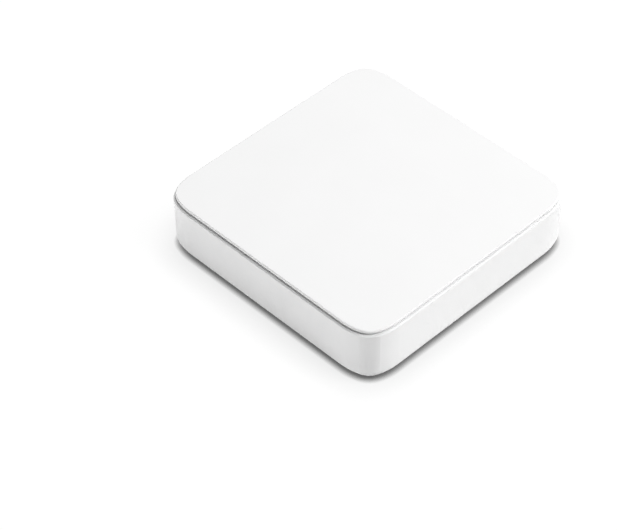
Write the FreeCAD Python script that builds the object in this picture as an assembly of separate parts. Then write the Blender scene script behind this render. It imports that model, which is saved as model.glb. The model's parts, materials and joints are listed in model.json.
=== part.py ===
import FreeCAD, Part
import math
import os

# A flat square streaming box for a television, in millimetres, +Z up.
# The origin is the middle of the footprint on the table. The plain front faces -Y,
# the long row of sockets is in the back wall (+Y), the short one in the right wall (+X).

# Case outline: a square whose corners are three tangent arcs, flank, nose, flank
case_width = 117.0
case_depth = 117.0
flank_radius = 26.0
nose_radius = 9.5
flank_turn = 20.0

# Lower housing
foot_gap = 1.2
housing_height = 23.7
wall_thickness = 2.4
floor_thickness = 2.0
wall_draft = 0.6
bottom_radius = 3.2
shoulder_chamfer = 0.6
cavity_chamfer = 1.5

# Top plate
shadow_gap = 0.9
plate_thickness = 1.0
plate_inset = 0.8
plate_edge_chamfer = 0.35
neck_inset = 2.1
rib_clearance = 0.15
rib_thickness = 1.2
rib_depth = 2.2
stiffener_thickness = 1.0
stiffener_depth = 1.6
stiffener_pitch = 30.0

# Snap nubs of the top plate and their pockets in the housing wall
nub_width = 6.0
nub_height = 1.2
nub_reach = 0.55
nub_drop = 1.6
nub_spacing = 52.0
pocket_clearance = 0.25

# Rubber feet, housing screws, screw bosses and posts
foot_inset = 11.5
foot_radius = 5.5
foot_recess = 0.8
foot_side_clearance = 0.15
foot_chamfer = 0.4
boss_radius = 4.75
boss_height = 7.8
post_radius = 3.6
housing_screw_radius = 1.4
housing_screw_length = 14.0
housing_head_radius = 2.7
housing_head_height = 1.9
counterbore_depth = 2.4
screw_clearance = 0.3
thread_clearance = 0.05
bore_end_gap = 1.2

# Main board, its two standoffs with screws, and the two plain rests
board_lift = 2.8
board_thickness = 1.6
board_gap_ports = 1.5
board_gap_plain = 4.0
board_boss_gap = 1.0
standoff_radius = 2.8
board_rest_size = 5.0
board_screw_side = 13.5
board_screw_back = 31.5
board_screw_front = 24.5
board_screw_radius = 1.0
board_screw_length = 3.4
board_head_radius = 2.1
board_head_height = 1.3

# Vent slots in the floor
vent_length = 24.0
vent_width = 2.2
vent_pitch = 5.6
vent_count = 9
vent_rows = 2
vent_row_pitch = 32.0

# Processor, its pad and heatsink
soc_x = -4.0
soc_y = -6.0
soc_substrate = 17.0
soc_substrate_height = 0.5
soc_cap = 15.2
soc_cap_height = 0.8
pad_size = 14.0
pad_height = 0.8
sink_width = 40.0
sink_depth = 40.0
sink_base = 2.2
sink_height = 8.6
fin_thickness = 1.2
fin_count = 11
sink_leg_radius = 2.4
sink_leg_inset = 2.8
sink_screw_radius = 1.0
sink_screw_length = 5.2
sink_head_radius = 2.0
sink_head_height = 1.2

# Chips and passive parts on the board
memory_width = 9.0
memory_depth = 13.0
memory_height = 1.0
memory_gap = 1.8
memory_spacing = 2.0
storage_width = 11.5
storage_depth = 13.0
storage_height = 1.0
storage_gap = 1.35
power_chip_size = 7.0
power_chip_height = 0.9
inductor_size = 6.0
inductor_height = 2.8
inductor_corner = 0.9
inductor_pitch = 8.5
inductor_count = 3
capacitor_radius = 3.15
capacitor_height = 6.6
capacitor_base = 6.6
capacitor_base_height = 0.9
capacitor_pitch = 8.0
capacitor_count = 2
capacitor_gap = 3.45
supply_shift = 4.0
supply_row_pitch = 8.2
crystal_width = 3.2
crystal_depth = 2.5
crystal_height = 0.8
crystal_shift = 7.5
crystal_pitch = 9.0
crystal_count = 2
crystal_gap = 6.75
transformer_width = 12.7
transformer_depth = 16.0
transformer_height = 6.0
transformer_gap = 3.5

# Wireless module, its shield and the two stamped antennas
radio_edge_gap = 8.1
radio_y = 2.0
radio_width = 13.0
radio_depth = 15.0
radio_height = 0.8
radio_shield_height = 1.8
radio_shield_border = 0.7
radio_shield_wall = 0.2
antenna_length = 22.0
antenna_height = 6.0
antenna_arm = 2.0
antenna_leg = 1.5
antenna_feed = 5.0
antenna_thickness = 0.4
antenna_edge_gap = 1.2
side_antenna_y = -14.0
front_antenna_x = -20.0

# Status light and infrared receiver behind the front wall
led_x = 0.0
led_width = 3.2
led_depth = 1.6
led_height = 1.0
led_edge_gap = 0.5
pipe_width = 3.4
pipe_height = 2.8
pipe_gap = 0.2
pipe_overlap = 1.2
pipe_foot = 1.2
pipe_nose_width = 2.4
pipe_nose_height = 1.6
pipe_window = 0.9
pipe_bevel = 1.6
receiver_x = 26.0
receiver_width = 5.8
receiver_depth = 3.2
receiver_height = 6.6
receiver_lens_radius = 2.2
receiver_lens_height = 4.2
receiver_lens_gap = 0.7
receiver_edge_gap = 3.0

# Sockets: the ends of the back and the side row, and how the wall goes round each
port_setback = 0.7
port_clearance = 0.25
port_lead = 0.4
back_row_left = 21.6
back_row_right = 20.0
side_row_front = 30.5
side_row_back = 44.0

# Power inlet
power_width = 9.0
power_height = 10.8
power_depth = 14.2
power_mouth_radius = 3.2
power_mouth_height = 6.4
power_mouth_depth = 9.6
power_pin_radius = 1.0
power_pin_setback = 0.9
power_pin_chamfer = 0.3
pin_clearance = 0.03

# Audio and video jack
audio_width = 6.4
audio_height = 5.4
audio_depth = 14.0
audio_collar_radius = 2.6
audio_wall_gap = 0.2
audio_bore_radius = 1.8
audio_bore_depth = 12.5

# Optical socket with its sprung flap
optical_width = 9.7
optical_height = 9.9
optical_depth = 13.3
optical_mouth_width = 6.3
optical_mouth_height = 6.5
optical_mouth_bottom = 1.2
optical_mouth_bevel = 0.9
optical_lip = 0.6
optical_cavity_margin = 0.2
optical_cavity_depth = 9.0
optical_ferrule_radius = 1.15
optical_ferrule_length = 1.5
emitter_width = 6.0
emitter_height = 6.0
flap_gap = 0.1
flap_thickness = 0.7
flap_barrel_radius = 0.6
flap_open_gap = 0.05
flap_pin_radius = 0.4
flap_pin_clearance = 0.05

# HDMI socket
hdmi_width = 14.0
hdmi_height = 4.55
hdmi_shoulder = 1.7
hdmi_flare = 1.6
hdmi_wall = 0.4
hdmi_depth = 11.3
hdmi_back = 3.0
hdmi_tongue_width = 11.0
hdmi_tongue_thickness = 1.1
hdmi_tongue_setback = 1.0
hdmi_contact_count = 10
hdmi_contact_pitch = 1.0
hdmi_contact_width = 0.4

# USB type A socket
usb_a_width = 12.5
usb_a_height = 5.12
usb_a_wall = 0.3
usb_a_depth = 14.0
usb_a_back = 3.6
usb_a_tongue_width = 11.1
usb_a_tongue_thickness = 1.84
usb_a_tongue_top_gap = 0.5
usb_a_tongue_setback = 1.6
usb_a_contact_count = 4
usb_a_contact_pitch = 2.3
usb_a_contact_width = 1.0

# USB type C socket
usb_c_width = 8.34
usb_c_height = 2.56
usb_c_wall = 0.3
usb_c_depth = 7.35
usb_c_back = 1.6
usb_c_tongue_width = 6.2
usb_c_tongue_thickness = 0.7
usb_c_tongue_setback = 0.9
usb_c_contact_count = 12
usb_c_contact_pitch = 0.5
usb_c_contact_width = 0.25
contact_thickness = 0.1
contact_front_gap = 0.6

# Ethernet socket
ethernet_width = 15.2
ethernet_height = 12.9
ethernet_depth = 18.0
ethernet_shield_wall = 0.3
ethernet_mouth_width = 11.9
ethernet_mouth_height = 7.0
ethernet_mouth_bottom = 4.3
ethernet_mouth_depth = 12.5
latch_step_width = 6.3
latch_step_height = 1.7
latch_slot_width = 4.0
latch_slot_height = 1.4
ethernet_contact_count = 8
ethernet_contact_pitch = 1.02
ethernet_contact_width = 0.45
ethernet_contact_thickness = 0.3
ethernet_contact_setback = 2.5
ethernet_contact_run = 6.5
ethernet_contact_drop = 2.2

# Reset button behind its hole in the right wall
reset_hole_radius = 1.0
reset_switch_width = 4.2
reset_switch_height = 3.0
reset_switch_depth = 3.4
reset_switch_setback = 4.0
reset_button_radius = 0.75
reset_button_length = 2.0
reset_button_seat = 0.6
reset_travel = 0.3
reset_fit = 0.05

# Worked out from the sizes above
floor_top = foot_gap + floor_thickness
rim_top = foot_gap + housing_height
plate_under = rim_top + shadow_gap
case_height = plate_under + plate_thickness
inner_x = case_width / 2 - wall_thickness
inner_y = case_depth / 2 - wall_thickness
board_under = floor_top + board_lift
board_top = board_under + board_thickness
board_right = inner_x - board_gap_ports
board_back = inner_y - board_gap_ports
board_left = -(inner_x - board_gap_plain)
board_front = -(inner_y - board_gap_plain)
radio_x = board_left + radio_edge_gap + radio_width / 2
corner_x = case_width / 2 - foot_inset
corner_y = case_depth / 2 - foot_inset
screw_side = case_width / 2 - board_screw_side
screw_back = case_depth / 2 - board_screw_back
screw_front = board_screw_front - case_depth / 2
boss_top = floor_top + boss_height
pad_top = board_top + soc_substrate_height + soc_cap_height + pad_height
sink_leg_height = pad_top - board_top
screw_end_gap = 4 * thread_clearance
quarter_turn = 90.0
tiny = 0.01

Vector = FreeCAD.Vector
Z_AXIS = Vector(0, 0, 1)
ORIGIN = Vector(0, 0, 0)

os.makedirs("parts", exist_ok=True)


def save(name, *solids):
    """Write one node: a single solid, or a group of separate ones."""
    shape = solids[0] if len(solids) == 1 else Part.makeCompound(list(solids))
    assert shape.isValid(), name
    shape.exportStep("parts/" + name + ".step")


def block(width, depth, height, x=0.0, y=0.0, z=0.0):
    """Box centred on x and y that stands on z."""
    return Part.makeBox(width, depth, height, Vector(x - width / 2, y - depth / 2, z))


def rod(radius, height, x, y, z):
    """Upright cylinder that stands on z."""
    return Part.makeCylinder(radius, height, Vector(x, y, z), Z_AXIS)


def edges_along(shape, direction):
    """Straight edges of a shape that run along a direction."""
    straight = [edge for edge in shape.Edges if isinstance(edge.Curve, Part.Line)]
    return [edge for edge in straight if edge.tangentAt(edge.FirstParameter).cross(direction).Length < tiny]


def edges_at_height(shape, z):
    """Edges of a shape that lie flat at height z."""
    return [edge for edge in shape.Edges if abs(edge.BoundBox.ZMin - z) + abs(edge.BoundBox.ZMax - z) < tiny]


def corners():
    """The four places that the feet, bosses, screws and posts share."""
    return [(side * corner_x, end * corner_y) for side in (-1, 1) for end in (-1, 1)]


def spread(widths, low, high):
    """Middles of pieces that stand in a row from low to high, with even gaps."""
    gap = (high - low - sum(widths)) / (len(widths) - 1)
    middles = []
    for width in widths:
        middles.append(low + width / 2)
        low += width + gap
    return middles


def in_line(count, pitch, middle=0.0):
    """Places of a centred row with an even pitch."""
    return [middle + (step - (count - 1) / 2) * pitch for step in range(count)]


def soft_square(inset, z):
    """Closed outline of the case at height z, drawn in by inset all round."""
    flank = flank_radius - inset
    nose = nose_radius - inset
    turn = math.radians(flank_turn)
    reach = flank * (math.sin(turn) + 1 - math.cos(turn)) + nose * (math.cos(turn) - math.sin(turn))

    def arc(centre, radius, start, end):
        points = []
        for angle in (start, (start + end) / 2, end):
            out = Vector(math.cos(math.radians(angle)), math.sin(math.radians(angle)), 0)
            points.append(centre + out * radius)
        return Part.Arc(*points).toShape()

    edges = []
    for quarter in range(4):
        width = case_width if quarter % 2 == 0 else case_depth
        depth = case_depth if quarter % 2 == 0 else case_width
        half = width / 2 - inset
        low = inset - depth / 2
        first = Vector(half - reach, low + flank, z)
        nose_turn = math.radians(flank_turn - quarter_turn)
        second = first + Vector(math.cos(nose_turn), math.sin(nose_turn), 0) * (flank - nose)
        third = Vector(half - flank, low + reach, z)
        side = [
            Part.LineSegment(Vector(reach - half, low, z), Vector(half - reach, low, z)).toShape(),
            arc(first, flank, -quarter_turn, flank_turn - quarter_turn),
            arc(second, nose, flank_turn - quarter_turn, -flank_turn),
            arc(third, flank, -flank_turn, 0),
        ]
        for edge in side:
            edge.rotate(ORIGIN, Z_AXIS, quarter_turn * quarter)
            edges.append(edge)
    return Part.Wire(edges)


def slab(inset, bottom, top):
    """Plate with the outline of the case, drawn in by inset."""
    return Part.Face(soft_square(inset, bottom)).extrude(Vector(0, 0, top - bottom))


def ring(outer_inset, inner_inset, bottom, top):
    """Wall that follows the outline of the case between two insets."""
    return slab(outer_inset, bottom, top).cut(slab(inner_inset, bottom, top))


def housing_shell():
    """Outside of the tub: one wall profile swept round the outline, then hollowed."""
    spine = soft_square(0.0, 0.0)
    start = spine.Edges[0].Vertexes[0].Point
    draft = math.radians(wall_draft)
    shoulder_z = rim_top - shoulder_chamfer
    arc_z = foot_gap + bottom_radius * (1 - math.sin(draft))
    arc_end = -(shoulder_z - arc_z) * math.tan(draft)
    arc_x = arc_end - bottom_radius * math.cos(draft)
    depth = wall_thickness + bottom_radius

    def at(out, z):
        return Vector(start.x, start.y - out, z)

    def bend(x, z, radius, angle):
        return at(x + radius * math.cos(angle), z + radius * math.sin(angle))

    arc_middle = -(math.pi / 2 + draft) / 2
    arc_centre_z = foot_gap + bottom_radius
    under = Part.LineSegment(at(-depth, foot_gap), at(arc_x, foot_gap)).toShape()
    toe = Part.Arc(
        at(arc_x, foot_gap),
        bend(arc_x, arc_centre_z, bottom_radius, arc_middle),
        bend(arc_x, arc_centre_z, bottom_radius, -draft),
    ).toShape()
    wall = Part.LineSegment(at(arc_end, arc_z), at(0, shoulder_z)).toShape()
    shoulder = Part.LineSegment(at(0, shoulder_z), at(-shoulder_chamfer, rim_top)).toShape()
    rim = Part.LineSegment(at(-shoulder_chamfer, rim_top), at(-depth, rim_top)).toShape()
    inside = Part.LineSegment(at(-depth, rim_top), at(-depth, foot_gap)).toShape()
    profile = Part.Wire([under, toe, wall, shoulder, rim, inside])
    rind = spine.makePipeShell([profile], True, False)
    outside = rind.fuse(slab(depth, foot_gap, rim_top)).removeSplitter()
    cavity = slab(wall_thickness, floor_top, rim_top)
    cavity = cavity.makeChamfer(cavity_chamfer, edges_at_height(cavity, floor_top))
    return outside.cut(cavity)


def rectangle(width, height, bottom=0.0, corner=0.0, grow=0.0):
    """Rectangle in the mouth plane of a socket, grown by grow, with round corners if asked."""
    half = width / 2 + grow
    low = bottom - grow
    high = bottom + height + grow
    flat = Part.makePolygon([
        Vector(-half, 0, low),
        Vector(half, 0, low),
        Vector(half, 0, high),
        Vector(-half, 0, high),
        Vector(-half, 0, low),
    ])
    if corner == 0.0:
        return flat
    solid = Part.Face(flat).extrude(Vector(0, 1, 0))
    solid = solid.makeFillet(corner + grow, edges_along(solid, Vector(0, 1, 0)))
    front = [face for face in solid.Faces if abs(face.CenterOfMass.y) < tiny][0]
    return front.OuterWire


def hdmi_outline(grow=0.0):
    """Mouth of the HDMI socket: wide on top, with two slanted lower corners."""
    half = hdmi_width / 2
    low = hdmi_wall
    high = hdmi_wall + hdmi_height
    wire = Part.makePolygon([
        Vector(-half + hdmi_flare, 0, low),
        Vector(half - hdmi_flare, 0, low),
        Vector(half, 0, low + hdmi_shoulder),
        Vector(half, 0, high),
        Vector(-half, 0, high),
        Vector(-half, 0, low + hdmi_shoulder),
        Vector(-half + hdmi_flare, 0, low),
    ])
    if grow == 0:
        return wire
    return wire.makeOffset2D(grow, 2)


def circle(radius, height):
    """Round mouth, centred at a height above the board."""
    return Part.Wire(Part.makeCircle(radius, Vector(0, 0, height), Vector(0, 1, 0)))


def inward(wire, start, end):
    """Prism of a mouth outline, from start to end behind the mouth plane."""
    face = Part.Face(wire)
    face.translate(Vector(0, -end, 0))
    return face.extrude(Vector(0, end - start, 0))


def to_back(shape, x):
    """Put a socket drawn at the origin into the back wall at x."""
    placed = shape.copy()
    placed.translate(Vector(x, case_depth / 2 - port_setback, board_top))
    return placed


def to_right(shape, y):
    """Put a socket drawn at the origin into the right wall at y."""
    placed = shape.copy()
    placed.rotate(ORIGIN, Z_AXIS, -quarter_turn)
    placed.translate(Vector(case_width / 2 - port_setback, y, board_top))
    return placed


def wall_cut(outline):
    """Cut-out for a socket: a clear hole through the wall with a bevelled lead."""
    hole = inward(outline(port_clearance), -port_setback - tiny, wall_thickness + tiny)
    inner = outline(port_clearance)
    outer = outline(port_clearance + port_lead)
    inner.translate(Vector(0, port_setback - port_lead, 0))
    outer.translate(Vector(0, port_setback, 0))
    lead = Part.makeLoft([inner, outer], True, True)
    return hole.fuse(lead)


def power_outline(grow=0.0):
    return rectangle(power_width, power_height, grow=grow)


def audio_outline(grow=0.0):
    return circle(audio_collar_radius + grow, audio_height / 2)


def optical_outline(grow=0.0):
    return rectangle(optical_width, optical_height, grow=grow)


def hdmi_outside(grow=0.0):
    return hdmi_outline(hdmi_wall + grow)


def ethernet_outline(grow=0.0):
    wall = ethernet_shield_wall
    return rectangle(ethernet_width + 2 * wall, ethernet_height + wall, grow=grow)


def usb_a_outline(grow=0.0):
    wall = usb_a_wall
    return rectangle(usb_a_width + 2 * wall, usb_a_height + 2 * wall, grow=grow)


def usb_c_outline(grow=0.0):
    height = usb_c_height + 2 * usb_c_wall
    return rectangle(usb_c_width + 2 * usb_c_wall, height, corner=height / 2 - tiny, grow=grow)


# Middles of the sockets: the back row from left to right, the side row from front to back
ethernet_x, hdmi_x, optical_x, audio_x, power_x = spread(
    [
        ethernet_width + 2 * ethernet_shield_wall,
        hdmi_width + 2 * hdmi_wall,
        optical_width,
        audio_width,
        power_width,
    ],
    back_row_left - case_width / 2,
    case_width / 2 - back_row_right,
)
reset_y, usb_c_y, usb_a_y = spread(
    [2 * reset_hole_radius, usb_c_width + 2 * usb_c_wall, usb_a_width + 2 * usb_a_wall],
    side_row_front - case_depth / 2,
    case_depth / 2 - side_row_back,
)
supply_x = power_x - supply_shift
capacitor_y = case_depth / 2 - port_setback - power_depth - capacitor_gap - capacitor_radius
power_chip_y = capacitor_y - supply_row_pitch
inductor_y = power_chip_y - supply_row_pitch


def port_cuts():
    """Everything that is cut out of the back and right walls."""
    cuts = [
        to_back(wall_cut(power_outline), power_x),
        to_back(wall_cut(audio_outline), audio_x),
        to_back(wall_cut(optical_outline), optical_x),
        to_back(wall_cut(hdmi_outside), hdmi_x),
        to_back(wall_cut(ethernet_outline), ethernet_x),
        to_right(wall_cut(usb_a_outline), usb_a_y),
        to_right(wall_cut(usb_c_outline), usb_c_y),
    ]
    reset_hole = circle(reset_hole_radius, reset_switch_height / 2)
    cuts.append(to_right(inward(reset_hole, -port_setback - tiny, wall_thickness + tiny), reset_y))
    return cuts


def snap(clearance, reach):
    """Eight wedges round the outline: the nubs, or their pockets when grown."""
    wedges = []
    top = rim_top - nub_drop + clearance
    height = nub_height + 2 * clearance
    width = nub_width + 2 * clearance
    root = rib_thickness / 2
    for quarter in range(4):
        inner = inner_y if quarter % 2 == 0 else inner_x
        face = rib_clearance - inner
        for place in (-nub_spacing / 2, nub_spacing / 2):
            profile = Part.makePolygon([
                Vector(place - width / 2, face + root, top),
                Vector(place - width / 2, face - reach, top),
                Vector(place - width / 2, face, top - height),
                Vector(place - width / 2, face + root, top - height),
                Vector(place - width / 2, face + root, top),
            ])
            wedge = Part.Face(profile).extrude(Vector(width, 0, 0))
            wedge.rotate(ORIGIN, Z_AXIS, quarter_turn * quarter)
            wedges.append(wedge)
    return wedges


def pocket_wedges():
    """Pockets in the housing wall that the snap nubs click into."""
    grown = snap(pocket_clearance, nub_reach + pocket_clearance)
    inside = slab(wall_thickness, floor_top, rim_top)
    return [wedge.cut(inside) for wedge in grown]


def vent_slots():
    """Slots in the floor, below the warm part of the board."""
    slots = []
    height = floor_thickness + 2 * tiny
    for y in in_line(vent_rows, vent_row_pitch):
        for x in in_line(vent_count, vent_pitch):
            slots.append(block(vent_width, vent_length, height, x, y, foot_gap - tiny))
    return slots


def board_screw_places():
    """The two screws that hold the board down, on one diagonal."""
    return [(-screw_side, screw_back), (screw_side, screw_front)]


def board_rest_places():
    """The two plain blocks that carry the board on the other diagonal."""
    return [(screw_side, screw_back), (-screw_side, screw_front)]


def lower_housing():
    shell = housing_shell()
    added = []
    cuts = vent_slots() + port_cuts() + pocket_wedges()
    for x, y in corners():
        added.append(rod(boss_radius, boss_height + tiny, x, y, floor_top - tiny))
        seat = foot_gap + foot_recess
        cuts.append(rod(foot_radius + foot_side_clearance, foot_recess + tiny, x, y, foot_gap - tiny))
        cuts.append(rod(housing_head_radius + screw_clearance, counterbore_depth + tiny, x, y, seat - tiny))
        cuts.append(rod(housing_screw_radius + screw_clearance, boss_top, x, y, seat))
    for x, y in board_screw_places():
        added.append(rod(standoff_radius, board_lift + tiny, x, y, floor_top - tiny))
        depth = board_screw_length - board_thickness + screw_end_gap
        cuts.append(rod(board_screw_radius + thread_clearance, depth + tiny, x, y, board_under - depth))
    for x, y in board_rest_places():
        added.append(block(board_rest_size, board_rest_size, board_lift + tiny, x, y, floor_top - tiny))
    cuts.append(pipe_nose(pipe_window, wall_thickness + tiny, thread_clearance))
    return shell.fuse(added).cut(cuts).removeSplitter()


def top_plate():
    """Plate, recessed neck, locating rib, snap nubs, stiffeners and screw posts."""
    plate = slab(plate_inset, plate_under, case_height)
    plate = plate.makeChamfer(plate_edge_chamfer, edges_at_height(plate, case_height))
    rib_outer = wall_thickness + rib_clearance
    rib_inner = rib_outer + rib_thickness
    neck = ring(neck_inset, rib_inner, rim_top, plate_under)
    rib = ring(rib_outer, rib_inner, rim_top - rib_depth, rim_top)
    added = [neck, rib] + snap(0.0, nub_reach)
    field = slab(rib_inner - tiny, plate_under - stiffener_depth, plate_under)
    count = int((case_width / 2 - rib_inner) / stiffener_pitch)
    for step in range(-count, count + 1):
        place = step * stiffener_pitch
        for width, depth, x, y in (
            (stiffener_thickness, case_depth, place, 0.0),
            (case_width, stiffener_thickness, 0.0, place),
        ):
            bar = block(width, depth, stiffener_depth, x, y, plate_under - stiffener_depth)
            added.append(bar.common(field))
    for x, y in corners():
        added.append(rod(post_radius, plate_under - boss_top, x, y, boss_top))
    lid = plate.fuse(added)
    hole_depth = foot_gap + foot_recess + counterbore_depth + housing_screw_length + bore_end_gap - boss_top
    for x, y in corners():
        lid = lid.cut(rod(housing_screw_radius + thread_clearance, hole_depth, x, y, boss_top))
    return lid.removeSplitter()


def screw(head_radius, head_height, radius, length):
    """Flat topped screw, pointing up from its head, which stands on zero."""
    head = rod(head_radius, head_height, 0, 0, 0)
    shaft = rod(radius, length, 0, 0, head_height)
    return head.fuse(shaft).removeSplitter()


def housing_screws():
    """Screws that pull the top plate down, driven from below under the feet."""
    placed = []
    seat = foot_gap + foot_recess + counterbore_depth
    for x, y in corners():
        one = screw(housing_head_radius, housing_head_height, housing_screw_radius, housing_screw_length)
        one.translate(Vector(x, y, seat - housing_head_height))
        placed.append(one)
    return placed


def board_screws():
    """Screws that hold the board on the standoffs, driven from above."""
    placed = []
    for x, y in board_screw_places():
        one = screw(board_head_radius, board_head_height, board_screw_radius, board_screw_length)
        one.rotate(ORIGIN, Vector(1, 0, 0), 180)
        one.translate(Vector(x, y, board_top + board_head_height))
        placed.append(one)
    return placed


def sink_leg_places():
    """Legs in the middle of the heatsink's front and back edge."""
    reach = sink_depth / 2 - sink_leg_inset
    return [(soc_x, soc_y - reach), (soc_x, soc_y + reach)]


def sink_screws():
    """Screws that pull the heatsink onto the processor, from below the board."""
    placed = []
    for x, y in sink_leg_places():
        one = screw(sink_head_radius, sink_head_height, sink_screw_radius, sink_screw_length)
        one.translate(Vector(x, y, board_under - sink_head_height))
        placed.append(one)
    return placed


def rubber_feet():
    """Round pads that cover the housing screws."""
    feet = []
    for x, y in corners():
        foot = rod(foot_radius, foot_gap + foot_recess, x, y, 0)
        feet.append(foot.makeChamfer(foot_chamfer, edges_at_height(foot, 0)))
    return feet


def main_board():
    """Board with corner notches round the screw bosses."""
    width = board_right - board_left
    depth = board_back - board_front
    middle_x = (board_right + board_left) / 2
    middle_y = (board_back + board_front) / 2
    board = block(width, depth, board_thickness, middle_x, middle_y, board_under)
    reach = boss_radius + board_boss_gap
    for x, y in corners():
        notch = block(case_width, case_depth, board_thickness, 0, 0, board_under)
        notch = notch.makeChamfer(reach / 2, edges_along(notch, Z_AXIS))
        out_x = math.copysign(case_width / 2 - reach, x)
        out_y = math.copysign(case_depth / 2 - reach, y)
        notch.translate(Vector(x + out_x, y + out_y, 0))
        board = board.cut(notch)
    for x, y in board_screw_places():
        board = board.cut(rod(board_screw_radius + screw_clearance, board_thickness, x, y, board_under))
    for x, y in sink_leg_places():
        board = board.cut(rod(sink_screw_radius + screw_clearance, board_thickness, x, y, board_under))
    return board


def soc_chip():
    base = block(soc_substrate, soc_substrate, soc_substrate_height, soc_x, soc_y, board_top)
    cap = block(soc_cap, soc_cap, soc_cap_height, soc_x, soc_y, board_top + soc_substrate_height)
    return base.fuse(cap)


def heatsink():
    """Cast plate on four legs, with straight fins."""
    base = block(sink_width, sink_depth, sink_base, soc_x, soc_y, pad_top)
    fins = []
    pitch = (sink_width - fin_thickness) / (fin_count - 1)
    for x in in_line(fin_count, pitch, soc_x):
        fins.append(block(fin_thickness, sink_depth, sink_height - sink_base, x, soc_y, pad_top + sink_base))
    body = base.fuse(fins)
    for x, y in sink_leg_places():
        body = body.fuse(rod(sink_leg_radius, sink_leg_height, x, y, board_top))
    for x, y in sink_leg_places():
        depth = sink_screw_length - board_thickness + screw_end_gap
        body = body.cut(rod(sink_screw_radius + thread_clearance, depth, x, y, board_top))
    return body.removeSplitter()


def thermal_pad():
    top = pad_top - pad_height
    return block(pad_size, pad_size, pad_height, soc_x, soc_y, top)


def memory_chips():
    x = soc_x - soc_substrate / 2 - memory_gap - memory_width / 2
    places = in_line(2, memory_depth + memory_spacing, soc_y)
    return [block(memory_width, memory_depth, memory_height, x, y, board_top) for y in places]


def storage_chip():
    x = soc_x + soc_substrate / 2 + storage_gap + storage_width / 2
    return block(storage_width, storage_depth, storage_height, x, soc_y, board_top)


def power_chip():
    return block(power_chip_size, power_chip_size, power_chip_height, supply_x, power_chip_y, board_top)


def power_inductors():
    coils = []
    for x in in_line(inductor_count, inductor_pitch, supply_x):
        coil = block(inductor_size, inductor_size, inductor_height, x, inductor_y, board_top)
        coils.append(coil.makeChamfer(inductor_corner, edges_along(coil, Z_AXIS)))
    return coils


def electrolytic_capacitors():
    cans = []
    for x in in_line(capacitor_count, capacitor_pitch, supply_x):
        base = block(capacitor_base, capacitor_base, capacitor_base_height, x, capacitor_y, board_top)
        can = rod(capacitor_radius, capacitor_height, x, capacitor_y, board_top + capacitor_base_height)
        cans.append(base.fuse(can))
    return cans


def crystal_oscillators():
    places = in_line(crystal_count, crystal_pitch, soc_x + crystal_shift)
    y = soc_y + sink_depth / 2 + crystal_gap + crystal_depth / 2
    return [block(crystal_width, crystal_depth, crystal_height, x, y, board_top) for x in places]


def wireless_module():
    return block(radio_width, radio_depth, radio_height, radio_x, radio_y, board_top)


def wireless_shield():
    """Thin can over the wireless module, open below."""
    width = radio_width - 2 * radio_shield_border
    depth = radio_depth - 2 * radio_shield_border
    bottom = board_top + radio_height
    can = block(width, depth, radio_shield_height, radio_x, radio_y, bottom)
    wall = radio_shield_wall
    inner = block(width - 2 * wall, depth - 2 * wall, radio_shield_height - wall, radio_x, radio_y, bottom)
    return can.cut(inner)


def antenna():
    """Stamped strip that stands on two legs, drawn along X from its short leg."""
    top = antenna_height
    under = antenna_height - antenna_arm
    points = [
        (0, 0), (antenna_leg, 0), (antenna_leg, under), (antenna_feed, under), (antenna_feed, 0),
        (antenna_feed + antenna_leg, 0), (antenna_feed + antenna_leg, under), (antenna_length, under),
        (antenna_length, top), (0, top), (0, 0),
    ]
    outline = Part.makePolygon([Vector(x, 0, z) for x, z in points])
    strip = Part.Face(outline).extrude(Vector(0, antenna_thickness, 0))
    strip.translate(Vector(-antenna_length / 2, 0, board_top))
    return strip


def front_antenna():
    strip = antenna()
    strip.translate(Vector(front_antenna_x, board_front + antenna_edge_gap, 0))
    return strip


def side_antenna():
    strip = antenna()
    strip.rotate(ORIGIN, Z_AXIS, -quarter_turn)
    strip.translate(Vector(board_left + antenna_edge_gap, side_antenna_y, 0))
    return strip


def pipe_nose(start, end, grow=0.0):
    """Thin end of the light pipe in the front wall, between two depths from the outside."""
    middle = board_top + led_height + pipe_gap + pipe_height / 2
    width = pipe_nose_width + 2 * grow
    height = pipe_nose_height + 2 * grow
    return block(width, end - start, height, led_x, (start + end - case_depth) / 2, middle - height / 2)


def light_pipe():
    """Clear bar that turns the light forwards, with its nose in the front wall."""
    led_y = board_front + led_edge_gap + led_depth / 2
    back = led_y + led_depth / 2 + pipe_overlap + pipe_foot
    front = -inner_y
    low = board_top + led_height + pipe_gap
    y = (front + back) / 2
    bar = block(pipe_width, back - front, pipe_height, led_x, y, low)
    top_back = [
        edge for edge in edges_along(bar, Vector(1, 0, 0))
        if edge.CenterOfMass.z > low + tiny and edge.CenterOfMass.y > y
    ]
    bar = bar.makeChamfer(pipe_bevel, top_back)
    foot = block(pipe_width, pipe_foot, led_height + pipe_gap, led_x, back - pipe_foot / 2, board_top)
    nose = pipe_nose(pipe_window + thread_clearance, wall_thickness)
    return bar.fuse([foot, nose]).removeSplitter()


def status_led():
    y = board_front + led_edge_gap + led_depth / 2
    return block(led_width, led_depth, led_height, led_x, y, board_top)


def infrared_receiver():
    """Upright receiver with its half round lens to the front."""
    y = board_front + receiver_edge_gap + receiver_depth / 2
    body = block(receiver_width, receiver_depth, receiver_height, receiver_x, y, board_top)
    low = board_top + receiver_height - receiver_lens_height - receiver_lens_gap
    lens = rod(receiver_lens_radius, receiver_lens_height, receiver_x, y - receiver_depth / 2, low)
    return body.fuse(lens).removeSplitter()


def power_inlet():
    """Moulded block with a round mouth."""
    body = inward(power_outline(), 0, power_depth)
    mouth = inward(circle(power_mouth_radius, power_mouth_height), -tiny, power_mouth_depth)
    pin_hole = inward(circle(power_pin_radius + pin_clearance, power_mouth_height), 0, power_depth + tiny)
    return body.cut([mouth, pin_hole])


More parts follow.
